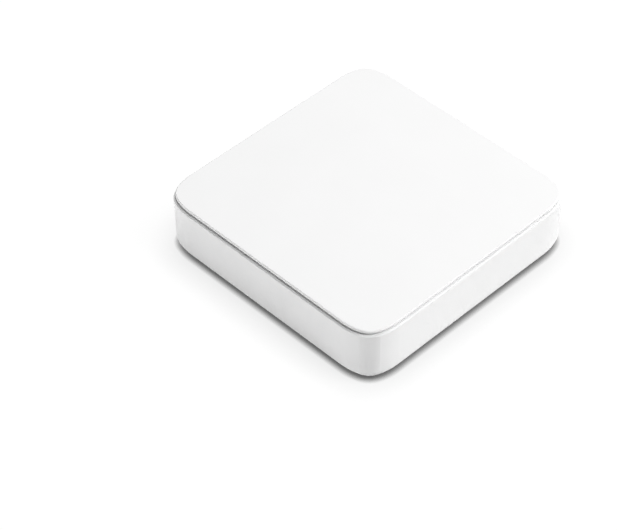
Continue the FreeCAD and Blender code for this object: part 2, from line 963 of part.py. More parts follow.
def power_pin():
    """Centre pin, pressed in from the back of the inlet."""
    shaft = inward(circle(power_pin_radius, power_mouth_height), power_pin_setback, power_depth)
    tip = max(shaft.Edges, key=lambda edge: edge.CenterOfMass.y)
    return shaft.makeChamfer(power_pin_chamfer, [tip])


def audio_jack():
    """Block behind the wall, with a round collar in the wall's hole."""
    start = wall_thickness - port_setback + audio_wall_gap
    body = inward(rectangle(audio_width, audio_height), start, audio_depth)
    collar = inward(audio_outline(), 0, start)
    bore = inward(circle(audio_bore_radius, audio_height / 2), -tiny, audio_bore_depth)
    return body.fuse(collar).cut(bore)


def flap_axis():
    """Where the flap turns: above the mouth, behind the lip, as (y, z)."""
    mouth_top = optical_mouth_bottom + optical_mouth_height
    z = mouth_top + flap_barrel_radius + flap_open_gap
    y = -(optical_lip + flap_gap + flap_barrel_radius)
    return y, z


def optical_socket():
    """Housing with a bevelled mouth, a roof pocket for the flap and pin holes."""
    body = inward(optical_outline(), 0, optical_depth)
    width = optical_mouth_width
    mouth = inward(rectangle(width, optical_mouth_height, optical_mouth_bottom), -tiny, optical_lip + tiny)
    high = optical_mouth_bottom + optical_mouth_height - tiny
    top_edges = [edge for edge in edges_along(mouth, Vector(0, 1, 0)) if edge.CenterOfMass.z > high]
    mouth = mouth.makeChamfer(optical_mouth_bevel, top_edges)
    axis_y, axis_z = flap_axis()
    floor = optical_mouth_bottom - optical_cavity_margin
    roof = axis_z + flap_barrel_radius + optical_cavity_margin
    wide = width + 2 * optical_cavity_margin
    cavity = inward(rectangle(wide, roof - floor, floor), optical_lip, optical_cavity_depth)
    middle = optical_mouth_bottom + optical_mouth_height / 2
    ferrule_end = optical_cavity_depth + optical_ferrule_length
    ferrule = inward(circle(optical_ferrule_radius, middle), optical_cavity_depth - tiny, ferrule_end)
    seat = inward(rectangle(emitter_width, middle + emitter_height / 2, 0), ferrule_end, optical_depth + tiny)
    pin_hole = Part.makeCylinder(
        flap_pin_radius + pin_clearance,
        optical_width + 2 * tiny,
        Vector(-optical_width / 2 - tiny, axis_y, axis_z),
        Vector(1, 0, 0),
    )
    return body.cut([mouth, cavity, ferrule, seat, pin_hole])


def optical_emitter():
    """Light source in the back of the optical socket."""
    middle = optical_mouth_bottom + optical_mouth_height / 2
    start = optical_cavity_depth + optical_ferrule_length
    return inward(rectangle(emitter_width, middle + emitter_height / 2, 0), start, optical_depth)


def optical_flap():
    """Flap with a barrel along its top edge."""
    axis_y, axis_z = flap_axis()
    width = optical_mouth_width + 2 * optical_cavity_margin - 2 * flap_gap
    bottom = optical_mouth_bottom - optical_cavity_margin + flap_gap
    front = optical_lip + flap_gap
    plate = inward(rectangle(width, axis_z - bottom, bottom), front, front + flap_thickness)
    along = Vector(1, 0, 0)
    barrel = Part.makeCylinder(flap_barrel_radius, width, Vector(-width / 2, axis_y, axis_z), along)
    bore = Part.makeCylinder(
        flap_pin_radius + flap_pin_clearance, width, Vector(-width / 2, axis_y, axis_z), along)
    return plate.fuse(barrel).cut(bore).removeSplitter()


def flap_pin():
    axis_y, axis_z = flap_axis()
    start = Vector(-optical_width / 2, axis_y, axis_z)
    return Part.makeCylinder(flap_pin_radius, optical_width, start, Vector(1, 0, 0))


def hdmi_shell():
    outside = inward(hdmi_outside(), 0, hdmi_depth)
    return outside.cut(inward(hdmi_outline(), -tiny, hdmi_depth + tiny))


def tongue_contacts(count, pitch, width, faces, front, back):
    """Flat contacts in a row on one or both faces of a tongue."""
    strips = []
    for z in faces:
        for step in range(count):
            x = (step - (count - 1) / 2) * pitch
            strip = block(width, back - front, contact_thickness, x, -(front + back) / 2, z)
            strips.append(strip)
    return strips


def hdmi_tongue():
    back = inward(hdmi_outline(), hdmi_depth - hdmi_back, hdmi_depth)
    middle = hdmi_wall + hdmi_height / 2
    low = middle - hdmi_tongue_thickness / 2
    plate = rectangle(hdmi_tongue_width, hdmi_tongue_thickness, low)
    return back.fuse(inward(plate, hdmi_tongue_setback, hdmi_depth - hdmi_back)).removeSplitter()


def hdmi_contacts():
    middle = hdmi_wall + hdmi_height / 2
    half = hdmi_tongue_thickness / 2
    faces = (middle + half, middle - half - contact_thickness)
    front = hdmi_tongue_setback + contact_front_gap
    back = hdmi_depth - hdmi_back
    return tongue_contacts(hdmi_contact_count, hdmi_contact_pitch, hdmi_contact_width, faces, front, back)


def usb_a_shell():
    outside = inward(usb_a_outline(), 0, usb_a_depth)
    return outside.cut(inward(usb_a_outline(-usb_a_wall), -tiny, usb_a_depth + tiny))


def usb_a_tongue():
    back = inward(usb_a_outline(-usb_a_wall), usb_a_depth - usb_a_back, usb_a_depth)
    low = usb_a_wall + usb_a_height - usb_a_tongue_top_gap - usb_a_tongue_thickness
    plate = rectangle(usb_a_tongue_width, usb_a_tongue_thickness, low)
    return back.fuse(inward(plate, usb_a_tongue_setback, usb_a_depth - usb_a_back)).removeSplitter()


def usb_a_contacts():
    low = usb_a_wall + usb_a_height - usb_a_tongue_top_gap - usb_a_tongue_thickness
    faces = (low - contact_thickness,)
    front = usb_a_tongue_setback + contact_front_gap
    back = usb_a_depth - usb_a_back
    return tongue_contacts(usb_a_contact_count, usb_a_contact_pitch, usb_a_contact_width, faces, front, back)


def usb_c_shell():
    outside = inward(usb_c_outline(), 0, usb_c_depth)
    return outside.cut(inward(usb_c_outline(-usb_c_wall), -tiny, usb_c_depth + tiny))


def usb_c_tongue():
    back = inward(usb_c_outline(-usb_c_wall), usb_c_depth - usb_c_back, usb_c_depth)
    low = usb_c_wall + (usb_c_height - usb_c_tongue_thickness) / 2
    plate = rectangle(usb_c_tongue_width, usb_c_tongue_thickness, low)
    return back.fuse(inward(plate, usb_c_tongue_setback, usb_c_depth - usb_c_back)).removeSplitter()


def usb_c_contacts():
    low = usb_c_wall + (usb_c_height - usb_c_tongue_thickness) / 2
    faces = (low - contact_thickness, low + usb_c_tongue_thickness)
    front = usb_c_tongue_setback + contact_front_gap
    back = usb_c_depth - usb_c_back
    return tongue_contacts(usb_c_contact_count, usb_c_contact_pitch, usb_c_contact_width, faces, front, back)


def ethernet_socket():
    """Block with a stepped mouth: plug, latch step and latch slot."""
    body = inward(rectangle(ethernet_width, ethernet_height), 0, ethernet_depth)
    bottom = ethernet_mouth_bottom
    depth = ethernet_mouth_depth
    mouth = inward(rectangle(ethernet_mouth_width, ethernet_mouth_height, bottom), -tiny, depth)
    low = bottom - latch_step_height
    step = inward(rectangle(latch_step_width, latch_step_height + tiny, low), -tiny, depth)
    low = low - latch_slot_height
    slot = inward(rectangle(latch_slot_width, latch_slot_height + tiny, low), -tiny, depth)
    return body.cut([mouth, step, slot])


def ethernet_shield():
    """Folded can over the top, sides and back of the Ethernet socket."""
    wall = ethernet_shield_wall
    outside = inward(ethernet_outline(), 0, ethernet_depth + wall)
    inside = inward(rectangle(ethernet_width, ethernet_height + tiny, -tiny), -tiny, ethernet_depth)
    return outside.cut(inside)


def ethernet_contacts():
    """Eight sprung contacts that slope back and down from the roof of the mouth."""
    roof = ethernet_mouth_bottom + ethernet_mouth_height
    start = -ethernet_contact_setback
    end = start - ethernet_contact_run
    low = roof - ethernet_contact_drop
    thickness = ethernet_contact_thickness
    flat = thickness * ethernet_contact_run / ethernet_contact_drop
    strips = []
    for step in range(ethernet_contact_count):
        x = (step - (ethernet_contact_count - 1) / 2) * ethernet_contact_pitch
        outline = Part.makePolygon([
            Vector(x, start, roof),
            Vector(x, start - flat, roof),
            Vector(x, end, low + thickness),
            Vector(x, end, low),
            Vector(x, start, roof),
        ])
        strip = Part.Face(outline).extrude(Vector(ethernet_contact_width, 0, 0))
        strip.translate(Vector(-ethernet_contact_width / 2, 0, 0))
        strips.append(strip)
    return strips


def ethernet_transformer():
    """Signal transformer, straight behind its socket."""
    socket_back = case_depth / 2 - port_setback - ethernet_depth - ethernet_shield_wall
    y = socket_back - transformer_gap - transformer_depth / 2
    return block(transformer_width, transformer_depth, transformer_height, ethernet_x, y, board_top)


def reset_switch():
    """Side push switch with a round guide for its button."""
    front = reset_switch_setback
    outline = rectangle(reset_switch_width, reset_switch_height)
    body = inward(outline, front, front + reset_switch_depth)
    depth = reset_button_seat + 2 * reset_travel
    guide = circle(reset_button_radius + reset_fit, reset_switch_height / 2)
    return body.cut(inward(guide, front - tiny, front + depth))


def reset_button():
    front = reset_switch_setback + reset_button_seat - reset_button_length
    return inward(circle(reset_button_radius, reset_switch_height / 2), front, front + reset_button_length)


def build_case():
    save("lower_housing", lower_housing())
    save("top_plate", top_plate())
    save("rubber_feet", *rubber_feet())
    save("housing_screws", *housing_screws())


def build_board():
    save("main_board", main_board())
    save("board_screws", *board_screws())
    save("processor", soc_chip())
    save("thermal_pad", thermal_pad())
    save("heatsink", heatsink())
    save("heatsink_screws", *sink_screws())
    save("memory_chips", *memory_chips())
    save("storage_chip", storage_chip())
    save("power_chip", power_chip())
    save("power_inductors", *power_inductors())
    save("electrolytic_capacitors", *electrolytic_capacitors())
    save("crystal_oscillators", *crystal_oscillators())
    save("ethernet_transformer", ethernet_transformer())
    save("wireless_module", wireless_module())
    save("wireless_shield", wireless_shield())
    save("side_antenna", side_antenna())
    save("front_antenna", front_antenna())
    save("status_led", status_led())
    save("light_pipe", light_pipe())
    save("infrared_receiver", infrared_receiver())


def build_back_sockets():
    save("power_inlet", to_back(power_inlet(), power_x))
    save("power_inlet_pin", to_back(power_pin(), power_x))
    save("audio_jack", to_back(audio_jack(), audio_x))
    save("optical_socket", to_back(optical_socket(), optical_x))
    save("optical_emitter", to_back(optical_emitter(), optical_x))
    save("optical_flap", to_back(optical_flap(), optical_x))
    save("optical_flap_pin", to_back(flap_pin(), optical_x))
    save("hdmi_shell", to_back(hdmi_shell(), hdmi_x))
    save("hdmi_tongue", to_back(hdmi_tongue(), hdmi_x))
    save("hdmi_contacts", *[to_back(strip, hdmi_x) for strip in hdmi_contacts()])
    save("ethernet_socket", to_back(ethernet_socket(), ethernet_x))
    save("ethernet_shield", to_back(ethernet_shield(), ethernet_x))
    save("ethernet_contacts", *[to_back(strip, ethernet_x) for strip in ethernet_contacts()])


def build_right_sockets():
    save("usb_a_shell", to_right(usb_a_shell(), usb_a_y))
    save("usb_a_tongue", to_right(usb_a_tongue(), usb_a_y))
    save("usb_a_contacts", *[to_right(strip, usb_a_y) for strip in usb_a_contacts()])
    save("usb_c_shell", to_right(usb_c_shell(), usb_c_y))
    save("usb_c_tongue", to_right(usb_c_tongue(), usb_c_y))
    save("usb_c_contacts", *[to_right(strip, usb_c_y) for strip in usb_c_contacts()])
    save("reset_switch", to_right(reset_switch(), reset_y))
    save("reset_button", to_right(reset_button(), reset_y))


build_case()
build_board()
build_back_sockets()
build_right_sockets()
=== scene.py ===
import json
import logging
import math
from dataclasses import dataclass, field
from enum import Enum

import bmesh
import bpy
from mathutils import Matrix, Vector


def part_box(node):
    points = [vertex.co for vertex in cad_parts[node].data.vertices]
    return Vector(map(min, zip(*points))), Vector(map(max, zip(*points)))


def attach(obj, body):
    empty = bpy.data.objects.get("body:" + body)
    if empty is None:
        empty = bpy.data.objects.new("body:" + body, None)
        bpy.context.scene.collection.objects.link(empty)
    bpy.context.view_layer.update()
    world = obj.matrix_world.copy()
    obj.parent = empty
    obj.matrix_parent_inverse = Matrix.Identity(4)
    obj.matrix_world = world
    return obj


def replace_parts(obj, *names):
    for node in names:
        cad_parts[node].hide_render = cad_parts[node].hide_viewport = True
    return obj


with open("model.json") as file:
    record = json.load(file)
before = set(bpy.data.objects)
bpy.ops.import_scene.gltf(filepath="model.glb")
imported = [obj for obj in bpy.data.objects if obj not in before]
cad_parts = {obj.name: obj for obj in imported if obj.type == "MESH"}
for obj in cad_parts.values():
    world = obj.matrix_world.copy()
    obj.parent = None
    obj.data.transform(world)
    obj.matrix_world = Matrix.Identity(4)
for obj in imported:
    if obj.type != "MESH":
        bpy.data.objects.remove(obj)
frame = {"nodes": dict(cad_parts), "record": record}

log = logging.getLogger("streaming_box")

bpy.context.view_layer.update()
MM = 0.001
FULL_TURN = 2 * math.pi
QUARTER_TURN = math.pi / 2
MERGE = 1e-7
CAN_BASE = 0.9 * MM

Colour = tuple[float, float, float]
Place = tuple[float, float, float]
Socket = bpy.types.NodeSocket

# Where Blender's noise mostly lies, the ranges of a blend and of its inverse, and the plain stretch
CLOUDS = (0.3, 0.7)
RISING = (0.0, 1.0)
FALLING = (1.0, 0.0)
EVEN = (1.0, 1.0, 1.0)


class Slot(Enum):
    """Material slots of the record, one for each finish."""

    SHELL = "white_shell"
    FEET = "grey_rubber"
    SCREW = "plated_screw"
    BOARD = "circuit_board"
    CHIP = "chip_black"
    HEATSINK = "heatsink_metal"
    PAD = "pad_grey"
    FERRITE = "ferrite"
    CAN = "can_aluminium"
    TINNED = "tinned_steel"
    GOLD = "gold_contact"
    NICKEL = "nickel_pin"
    SOCKET = "socket_black"
    CLEAR = "clear_pipe"
    FILTER = "lens_dark"


class Axis(Enum):
    """Directions of the object's frame, as indices of a vector."""

    X = 0
    Y = 1
    Z = 2


class Layout(Enum):
    """Where the screws of a set stand in the box of their node, as signs from its middle."""

    CORNERS = ((-1, -1), (-1, 1), (1, -1), (1, 1))
    DIAGONAL = ((-1, 1), (1, -1))
    COLUMN = ((0, -1), (0, 1))


class Recipe:
    """A material in the making: a principled shader and the nodes that feed it."""

    def __init__(self, slot: Slot) -> None:
        """Start with a bare principled shader.

        Args:
            slot: The record's slot that the material is for.
        """
        self.material = bpy.data.materials.new(slot.value)
        self.material.use_nodes = True
        self.tree = self.material.node_tree
        self.principled = self.tree.nodes["Principled BSDF"]

    def constant(self, **values: float | Colour) -> None:
        """Set values that are the same all over on the shader's own sockets.

        Args:
            values: Socket names, with underscores for spaces, and what they get.
        """
        for name, value in values.items():
            given = (*value, 1.0) if isinstance(value, tuple) else value
            self.principled.inputs[name.replace("_", " ")].default_value = given

    def feed(self, name: str, source: Socket) -> None:
        """Join an output to the shader's socket of that name."""
        self.tree.links.new(source, self.principled.inputs[name])

    def place(self, stretch: Place = EVEN) -> Socket:
        """Object coordinates in millimetres.

        Args:
            stretch: Factor on each axis: a small one draws a pattern out along it.

        Returns:
            The vector output.
        """
        source = self.tree.nodes.new("ShaderNodeTexCoord")
        mapping = self.tree.nodes.new("ShaderNodeMapping")
        mapping.inputs["Scale"].default_value = [value / MM for value in stretch]
        self.tree.links.new(source.outputs["Object"], mapping.inputs["Vector"])
        return mapping.outputs["Vector"]

    def part(self, vector: Socket, axis: Axis) -> Socket:
        """One coordinate of a vector output.

        Args:
            vector: The vector output.
            axis: Which coordinate.

        Returns:
            The value output.
        """
        split = self.tree.nodes.new("ShaderNodeSeparateXYZ")
        self.tree.links.new(vector, split.inputs[0])
        return split.outputs[axis.value]

    def facing(self, axis: Axis) -> Socket:
        """How far the surface faces along an axis of the object, from 0 to 1."""
        source = self.tree.nodes.new("ShaderNodeTexCoord")
        return self.count("ABSOLUTE", self.part(source.outputs["Normal"], axis))

    def count(self, operation: str, first: Socket, second: float | Socket = 0.0) -> Socket:
        """Arithmetic on value outputs.

        Args:
            operation: Blender's name of the operation.
            first: A value output.
            second: A value output or a number.

        Returns:
            The value output.
        """
        node = self.tree.nodes.new("ShaderNodeMath")
        node.operation = operation
        self.tree.links.new(first, node.inputs[0])
        if isinstance(second, float):
            node.inputs[1].default_value = second
        else:
            self.tree.links.new(second, node.inputs[1])
        return node.outputs[0]

    def noise(self, cells: float, detail: float = 3.0, stretch: Place = EVEN) -> Socket:
        """Cloudy noise.

        Args:
            cells: Cells in a millimetre.
            detail: Octaves of finer noise.
            stretch: Factor on each axis: a small one draws the clouds out along it.

        Returns:
            The value output, mostly between 0.3 and 0.7.
        """
        node = self.tree.nodes.new("ShaderNodeTexNoise")
        node.inputs["Scale"].default_value = cells
        node.inputs["Detail"].default_value = detail
        self.tree.links.new(self.place(stretch), node.inputs["Vector"])
        return node.outputs["Fac"]

    def grains(self, cells: float) -> Socket:
        """Distance to the nearest point of a scatter, for specks and pits.

        Args:
            cells: Cells in a millimetre.

        Returns:
            The value output.
        """
        node = self.tree.nodes.new("ShaderNodeTexVoronoi")
        node.inputs["Scale"].default_value = cells
        self.tree.links.new(self.place(), node.inputs["Vector"])
        return node.outputs["Distance"]

    def bands(self, count: float, axis: Axis) -> Socket:
        """Smooth stripes across an axis.

        Args:
            count: Stripes in about a third of a millimetre.
            axis: The axis that the stripes follow each other along.

        Returns:
            The value output, from 0 to 1.
        """
        node = self.tree.nodes.new("ShaderNodeTexWave")
        node.bands_direction = axis.name
        node.inputs["Scale"].default_value = count
        self.tree.links.new(self.place(), node.inputs["Vector"])
        return node.outputs["Fac"]

    def span(self, value: Socket, source: tuple[float, float], target: tuple[float, float]) -> Socket:
        """Map a value from one range onto another, and hold it there.

        Args:
            value: A value output.
            source: Where it starts and ends.
            target: What the ends become.

        Returns:
            The value output.
        """
        node = self.tree.nodes.new("ShaderNodeMapRange")
        node.inputs["From Min"].default_value, node.inputs["From Max"].default_value = source
        node.inputs["To Min"].default_value, node.inputs["To Max"].default_value = target
        self.tree.links.new(value, node.inputs["Value"])
        return node.outputs["Result"]

    def mix(self, factor: Socket, first: Colour | Socket, second: Colour | Socket) -> Socket:
        """Blend two colours.

        Args:
            factor: A value output: 0 gives the first colour, 1 the second.
            first: A colour or a colour output.
            second: A colour or a colour output.

        Returns:
            The colour output.
        """
        node = self.tree.nodes.new("ShaderNodeMix")
        node.data_type = "RGBA"
        self.tree.links.new(factor, node.inputs["Factor"])
        ends = [socket for socket in node.inputs if socket.type == "RGBA"]
        for end, colour in zip(ends, (first, second)):
            if isinstance(colour, tuple):
                end.default_value = (*colour, 1.0)
            else:
                self.tree.links.new(colour, end)
        return next(socket for socket in node.outputs if socket.type == "RGBA")

    def relief(self, height: Socket, depth: float, soft_edge: float = 0.0) -> None:
        """Raise the surface by a pattern, and round its edges to the light.

        Args:
            height: A value output, 0 low and 1 high.
            depth: Millimetres from low to high.
            soft_edge: Radius that edges shade with, in millimetres.
        """
        bump = self.tree.nodes.new("ShaderNodeBump")
        bump.inputs["Distance"].default_value = depth * MM
        self.tree.links.new(height, bump.inputs["Height"])
        if soft_edge:
            edge = self.tree.nodes.new("ShaderNodeBevel")
            edge.inputs["Radius"].default_value = soft_edge * MM
            self.tree.links.new(edge.outputs["Normal"], bump.inputs["Normal"])
        self.feed("Normal", bump.outputs["Normal"])


@dataclass(frozen=True)
class Finish:
    """What every finish has: the slot it is for, its colour and how dull it is."""

    slot: Slot
    colour: Colour
    roughness: float

    def build(self) -> bpy.types.Material:
        """Make the material.

        Returns:
            The material.
        """
        raise NotImplementedError

    def gloss(self, recipe: Recipe, pattern: Socket, low: float, high: float) -> None:
        """Let the dullness follow a pattern.

        Args:
            recipe: The material in the making.
            pattern: The value output of a noise.
            low: What the low end of the pattern adds to the dullness.
            high: What its high end adds.
        """
        ends = (self.roughness + low, self.roughness + high)
        recipe.feed("Roughness", recipe.span(pattern, CLOUDS, ends))


@dataclass(frozen=True)
class MouldedPlastic(Finish):
    """Moulded plastic with a fine eroded grain and a slow drift of tone.

    The mirror is how strongly it reflects at a glance, where 0.5 is a smooth skin.
    """

    shade: Colour = (0.0, 0.0, 0.0)
    grain: float = 5.0
    depth: float = 0.006
    soft_edge: float = 0.12
    mirror: float = 0.5

    def build(self) -> bpy.types.Material:
        """Make the material.

        Returns:
            The material.
        """
        recipe = Recipe(self.slot)
        drift = recipe.span(recipe.noise(cells=0.04), CLOUDS, RISING)
        recipe.feed("Base Color", recipe.mix(drift, self.colour, self.shade))
        self.gloss(recipe, recipe.noise(cells=0.3), low=-0.03, high=0.03)
        recipe.relief(recipe.noise(self.grain, detail=2.0), self.depth, self.soft_edge)
        recipe.constant(IOR=1.49, Specular_IOR_Level=self.mirror)
        return recipe.material


@dataclass(frozen=True)
class Rubber(Finish):
    """Dull rubber with a pebbled skin and a little dust in it."""

    dust: Colour = (0.3, 0.3, 0.3)

    def build(self) -> bpy.types.Material:
        """Make the material.

        Returns:
            The material.
        """
        recipe = Recipe(self.slot)
        specks = recipe.span(recipe.noise(cells=2.5, detail=6.0), (0.56, 0.72), (0.0, 0.5))
        recipe.feed("Base Color", recipe.mix(specks, self.colour, self.dust))
        self.gloss(recipe, recipe.noise(cells=0.6), low=-0.06, high=0.06)
        recipe.relief(recipe.grains(cells=3.0), depth=0.03, soft_edge=0.15)
        recipe.constant(IOR=1.52, Sheen_Weight=0.15, Sheen_Roughness=0.4)
        return recipe.material


@dataclass(frozen=True)
class RolledMetal(Finish):
    """Plated or bare metal with fine marks drawn out along one direction."""

    tarnish: Colour = (0.4, 0.38, 0.34)
    stretch: Place = (9.0, 0.5, 9.0)
    depth: float = 0.004
    soft_edge: float = 0.05

    def build(self) -> bpy.types.Material:
        """Make the material.

        Returns:
            The material.
        """
        recipe = Recipe(self.slot)
        streaks = recipe.noise(cells=1.0, detail=4.0, stretch=self.stretch)
        patches = recipe.span(recipe.noise(cells=0.5), (0.45, 0.8), (0.0, 0.5))
        recipe.feed("Base Color", recipe.mix(patches, self.colour, self.tarnish))
        self.gloss(recipe, streaks, low=-0.07, high=0.09)
        recipe.relief(streaks, self.depth, self.soft_edge)
        recipe.constant(Metallic=1.0)
        return recipe.material


@dataclass(frozen=True)
class SolderMask(Finish):
    """Lacquered circuit board: tracks under the lacquer, bare laminate at its edges.

    The tracks run across in some regions and along in the others. The copper is where on a stripe's
    wave the flank of a track starts and ends.
    """

    track: Colour = (0.02, 0.16, 0.07)
    laminate: Colour = (0.42, 0.36, 0.16)
    resin: Colour = (0.3, 0.26, 0.12)
    stripes: float = 0.9
    copper: tuple[float, float] = (0.72, 0.8)

    def build(self) -> bpy.types.Material:
        """Make the material.

        Returns:
            The material.
        """
        recipe = Recipe(self.slot)
        regions = recipe.span(recipe.noise(cells=0.09, detail=1.0), (0.49, 0.51), RISING)
        across = recipe.span(recipe.bands(self.stripes, Axis.X), self.copper, RISING)
        across = recipe.count("MULTIPLY", across, regions)
        along = recipe.span(recipe.bands(self.stripes, Axis.Y), self.copper, RISING)
        along = recipe.count("MULTIPLY", along, recipe.span(regions, RISING, FALLING))
        tracks = recipe.count("MAXIMUM", across, along)
        lacquer = recipe.mix(tracks, self.colour, self.track)
        edge = recipe.mix(recipe.noise(cells=1.0, stretch=(0.6, 0.6, 9.0)), self.laminate, self.resin)
        flat = recipe.span(recipe.facing(Axis.Z), (0.4, 0.6), RISING)
        recipe.feed("Base Color", recipe.mix(flat, edge, lacquer))
        self.gloss(recipe, recipe.noise(cells=0.4), low=-0.05, high=0.05)
        recipe.relief(tracks, depth=0.03, soft_edge=0.05)
        recipe.constant(IOR=1.54, Coat_Weight=0.3, Coat_Roughness=0.15)
        return recipe.material


@dataclass(frozen=True)
class Epoxy(Finish):
    """Moulded chip: black filled epoxy, with fine glassy specks."""

    speck: Colour = (0.12, 0.12, 0.13)

    def build(self) -> bpy.types.Material:
        """Make the material.

        Returns:
            The material.
        """
        recipe = Recipe(self.slot)
        specks = recipe.span(recipe.grains(cells=7.0), (0.0, 0.22), (0.6, 0.0))
        recipe.feed("Base Color", recipe.mix(specks, self.colour, self.speck))
        self.gloss(recipe, recipe.noise(cells=1.2), low=-0.07, high=0.07)
        recipe.relief(recipe.noise(cells=9.0, detail=2.0), depth=0.006, soft_edge=0.06)
        recipe.constant(IOR=1.55)
        return recipe.material


@dataclass(frozen=True)
class GapPad(Finish):
    """Soft silicone pad, with filler grains and the dents of handling."""

    filler: Colour = (0.5, 0.52, 0.55)

    def build(self) -> bpy.types.Material:
        """Make the material.

        Returns:
            The material.
        """
        recipe = Recipe(self.slot)
        specks = recipe.span(recipe.grains(cells=5.0), (0.0, 0.35), (0.7, 0.0))
        recipe.feed("Base Color", recipe.mix(specks, self.colour, self.filler))
        self.gloss(recipe, recipe.noise(cells=0.8), low=-0.08, high=0.08)
        recipe.relief(recipe.noise(cells=0.7, detail=2.0), depth=0.05)
        recipe.constant(Subsurface_Weight=0.1, Subsurface_Scale=MM)
        return recipe.material


@dataclass(frozen=True)
class Ferrite(Finish):
    """Pressed and sintered core, matt and slightly pitted."""

    pit: Colour = (0.015, 0.015, 0.016)

    def build(self) -> bpy.types.Material:
        """Make the material.

        Returns:
            The material.
        """
        recipe = Recipe(self.slot)
        pits = recipe.span(recipe.grains(cells=3.5), (0.05, 0.3), FALLING)
        recipe.feed("Base Color", recipe.mix(pits, self.colour, self.pit))
        self.gloss(recipe, recipe.noise(cells=1.5), low=-0.08, high=0.08)
        recipe.relief(recipe.span(pits, RISING, FALLING), depth=0.02, soft_edge=0.1)
        recipe.constant(IOR=1.6)
        return recipe.material


@dataclass(frozen=True)
class CapacitorCan(Finish):
    """Drawn aluminium can on a black plastic base, told apart by height."""

    base: Colour = (0.02, 0.02, 0.022)
    streak: Colour = (0.55, 0.56, 0.58)
    base_height: float = CAN_BASE
    blur: float = 0.05

    def build(self) -> bpy.types.Material:
        """Make the material.

        Returns:
            The material.
        """
        recipe = Recipe(self.slot)
        rim = (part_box("electrolytic_capacitors")[0].z + self.base_height) / MM
        metal = recipe.span(recipe.part(recipe.place(), Axis.Z), (rim, rim + self.blur), RISING)
        rings = recipe.noise(cells=1.0, stretch=(0.4, 0.4, 12.0))
        shine = recipe.mix(rings, self.colour, self.streak)
        recipe.feed("Base Color", recipe.mix(metal, self.base, shine))
        recipe.feed("Metallic", metal)
        self.gloss(recipe, rings, low=-0.05, high=0.1)
        recipe.relief(rings, depth=0.01, soft_edge=0.15)
        return recipe.material


@dataclass(frozen=True)
class ClearAcrylic(Finish):
    """Clear bar that carries light, with the faint haze of its mould."""

    def build(self) -> bpy.types.Material:
        """Make the material.

        Returns:
            The material.
        """
        recipe = Recipe(self.slot)
        self.gloss(recipe, recipe.noise(cells=0.7), low=-0.03, high=0.03)
        recipe.relief(recipe.noise(cells=1.5, detail=2.0), depth=0.01, soft_edge=0.1)
        recipe.constant(Base_Color=self.colour, IOR=1.49, Transmission_Weight=1.0)
        return recipe.material


@dataclass(frozen=True)
class InfraredFilter(Finish):
    """Dark dyed resin that looks black until light comes through it."""

    bloom: Colour = (0.05, 0.012, 0.02)

    def build(self) -> bpy.types.Material:
        """Make the material.

        Returns:
            The material.
        """
        recipe = Recipe(self.slot)
        clouds = recipe.span(recipe.noise(cells=0.4), CLOUDS, RISING)
        recipe.feed("Base Color", recipe.mix(clouds, self.colour, self.bloom))
        self.gloss(recipe, recipe.noise(cells=0.9), low=-0.03, high=0.03)
        recipe.relief(recipe.noise(cells=2.0, detail=1.0), depth=0.008, soft_edge=0.1)
        recipe.constant(IOR=1.55, Coat_Weight=0.4, Coat_Roughness=0.08)
        return recipe.material


FINISHES: tuple[Finish, ...] = (
    MouldedPlastic(
        Slot.SHELL, (0.8, 0.8, 0.8), 0.52, shade=(0.79, 0.79, 0.79), depth=0.005, soft_edge=0.3,
        mirror=0.15),
    Rubber(Slot.FEET, (0.16, 0.16, 0.165), 0.72),
    RolledMetal(
        Slot.SCREW, (0.62, 0.62, 0.6), 0.32, tarnish=(0.45, 0.44, 0.4), stretch=(2.0, 2.0, 0.5)),
    SolderMask(Slot.BOARD, (0.008, 0.09, 0.035), 0.32),
    Epoxy(Slot.CHIP, (0.022, 0.022, 0.024), 0.48),
    RolledMetal(
        Slot.HEATSINK, (0.66, 0.67, 0.69), 0.42, tarnish=(0.5, 0.51, 0.54), stretch=(7.0, 0.15, 7.0),
        depth=0.008),
    GapPad(Slot.PAD, (0.3, 0.33, 0.4), 0.65),
    Ferrite(Slot.FERRITE, (0.05, 0.05, 0.054), 0.7),
    CapacitorCan(Slot.CAN, (0.78, 0.79, 0.81), 0.3),
    RolledMetal(
        Slot.TINNED, (0.72, 0.71, 0.68), 0.28, tarnish=(0.5, 0.49, 0.46), stretch=(6.0, 0.4, 6.0)),
    RolledMetal(
        Slot.GOLD, (0.9, 0.66, 0.28), 0.22, tarnish=(0.72, 0.48, 0.2), stretch=(6.0, 0.6, 6.0),
        depth=0.002, soft_edge=0.02),
    RolledMetal(
        Slot.NICKEL, (0.74, 0.72, 0.68), 0.2, tarnish=(0.56, 0.54, 0.5), stretch=(0.8, 6.0, 0.8),
        depth=0.002),
    MouldedPlastic(
        Slot.SOCKET, (0.018, 0.018, 0.019), 0.42, shade=(0.03, 0.03, 0.032), grain=6.0, depth=0.008,
        soft_edge=0.08),
    ClearAcrylic(Slot.CLEAR, (0.95, 0.97, 0.98), 0.08),
    InfraredFilter(Slot.FILTER, (0.02, 0.012, 0.016), 0.14),
)


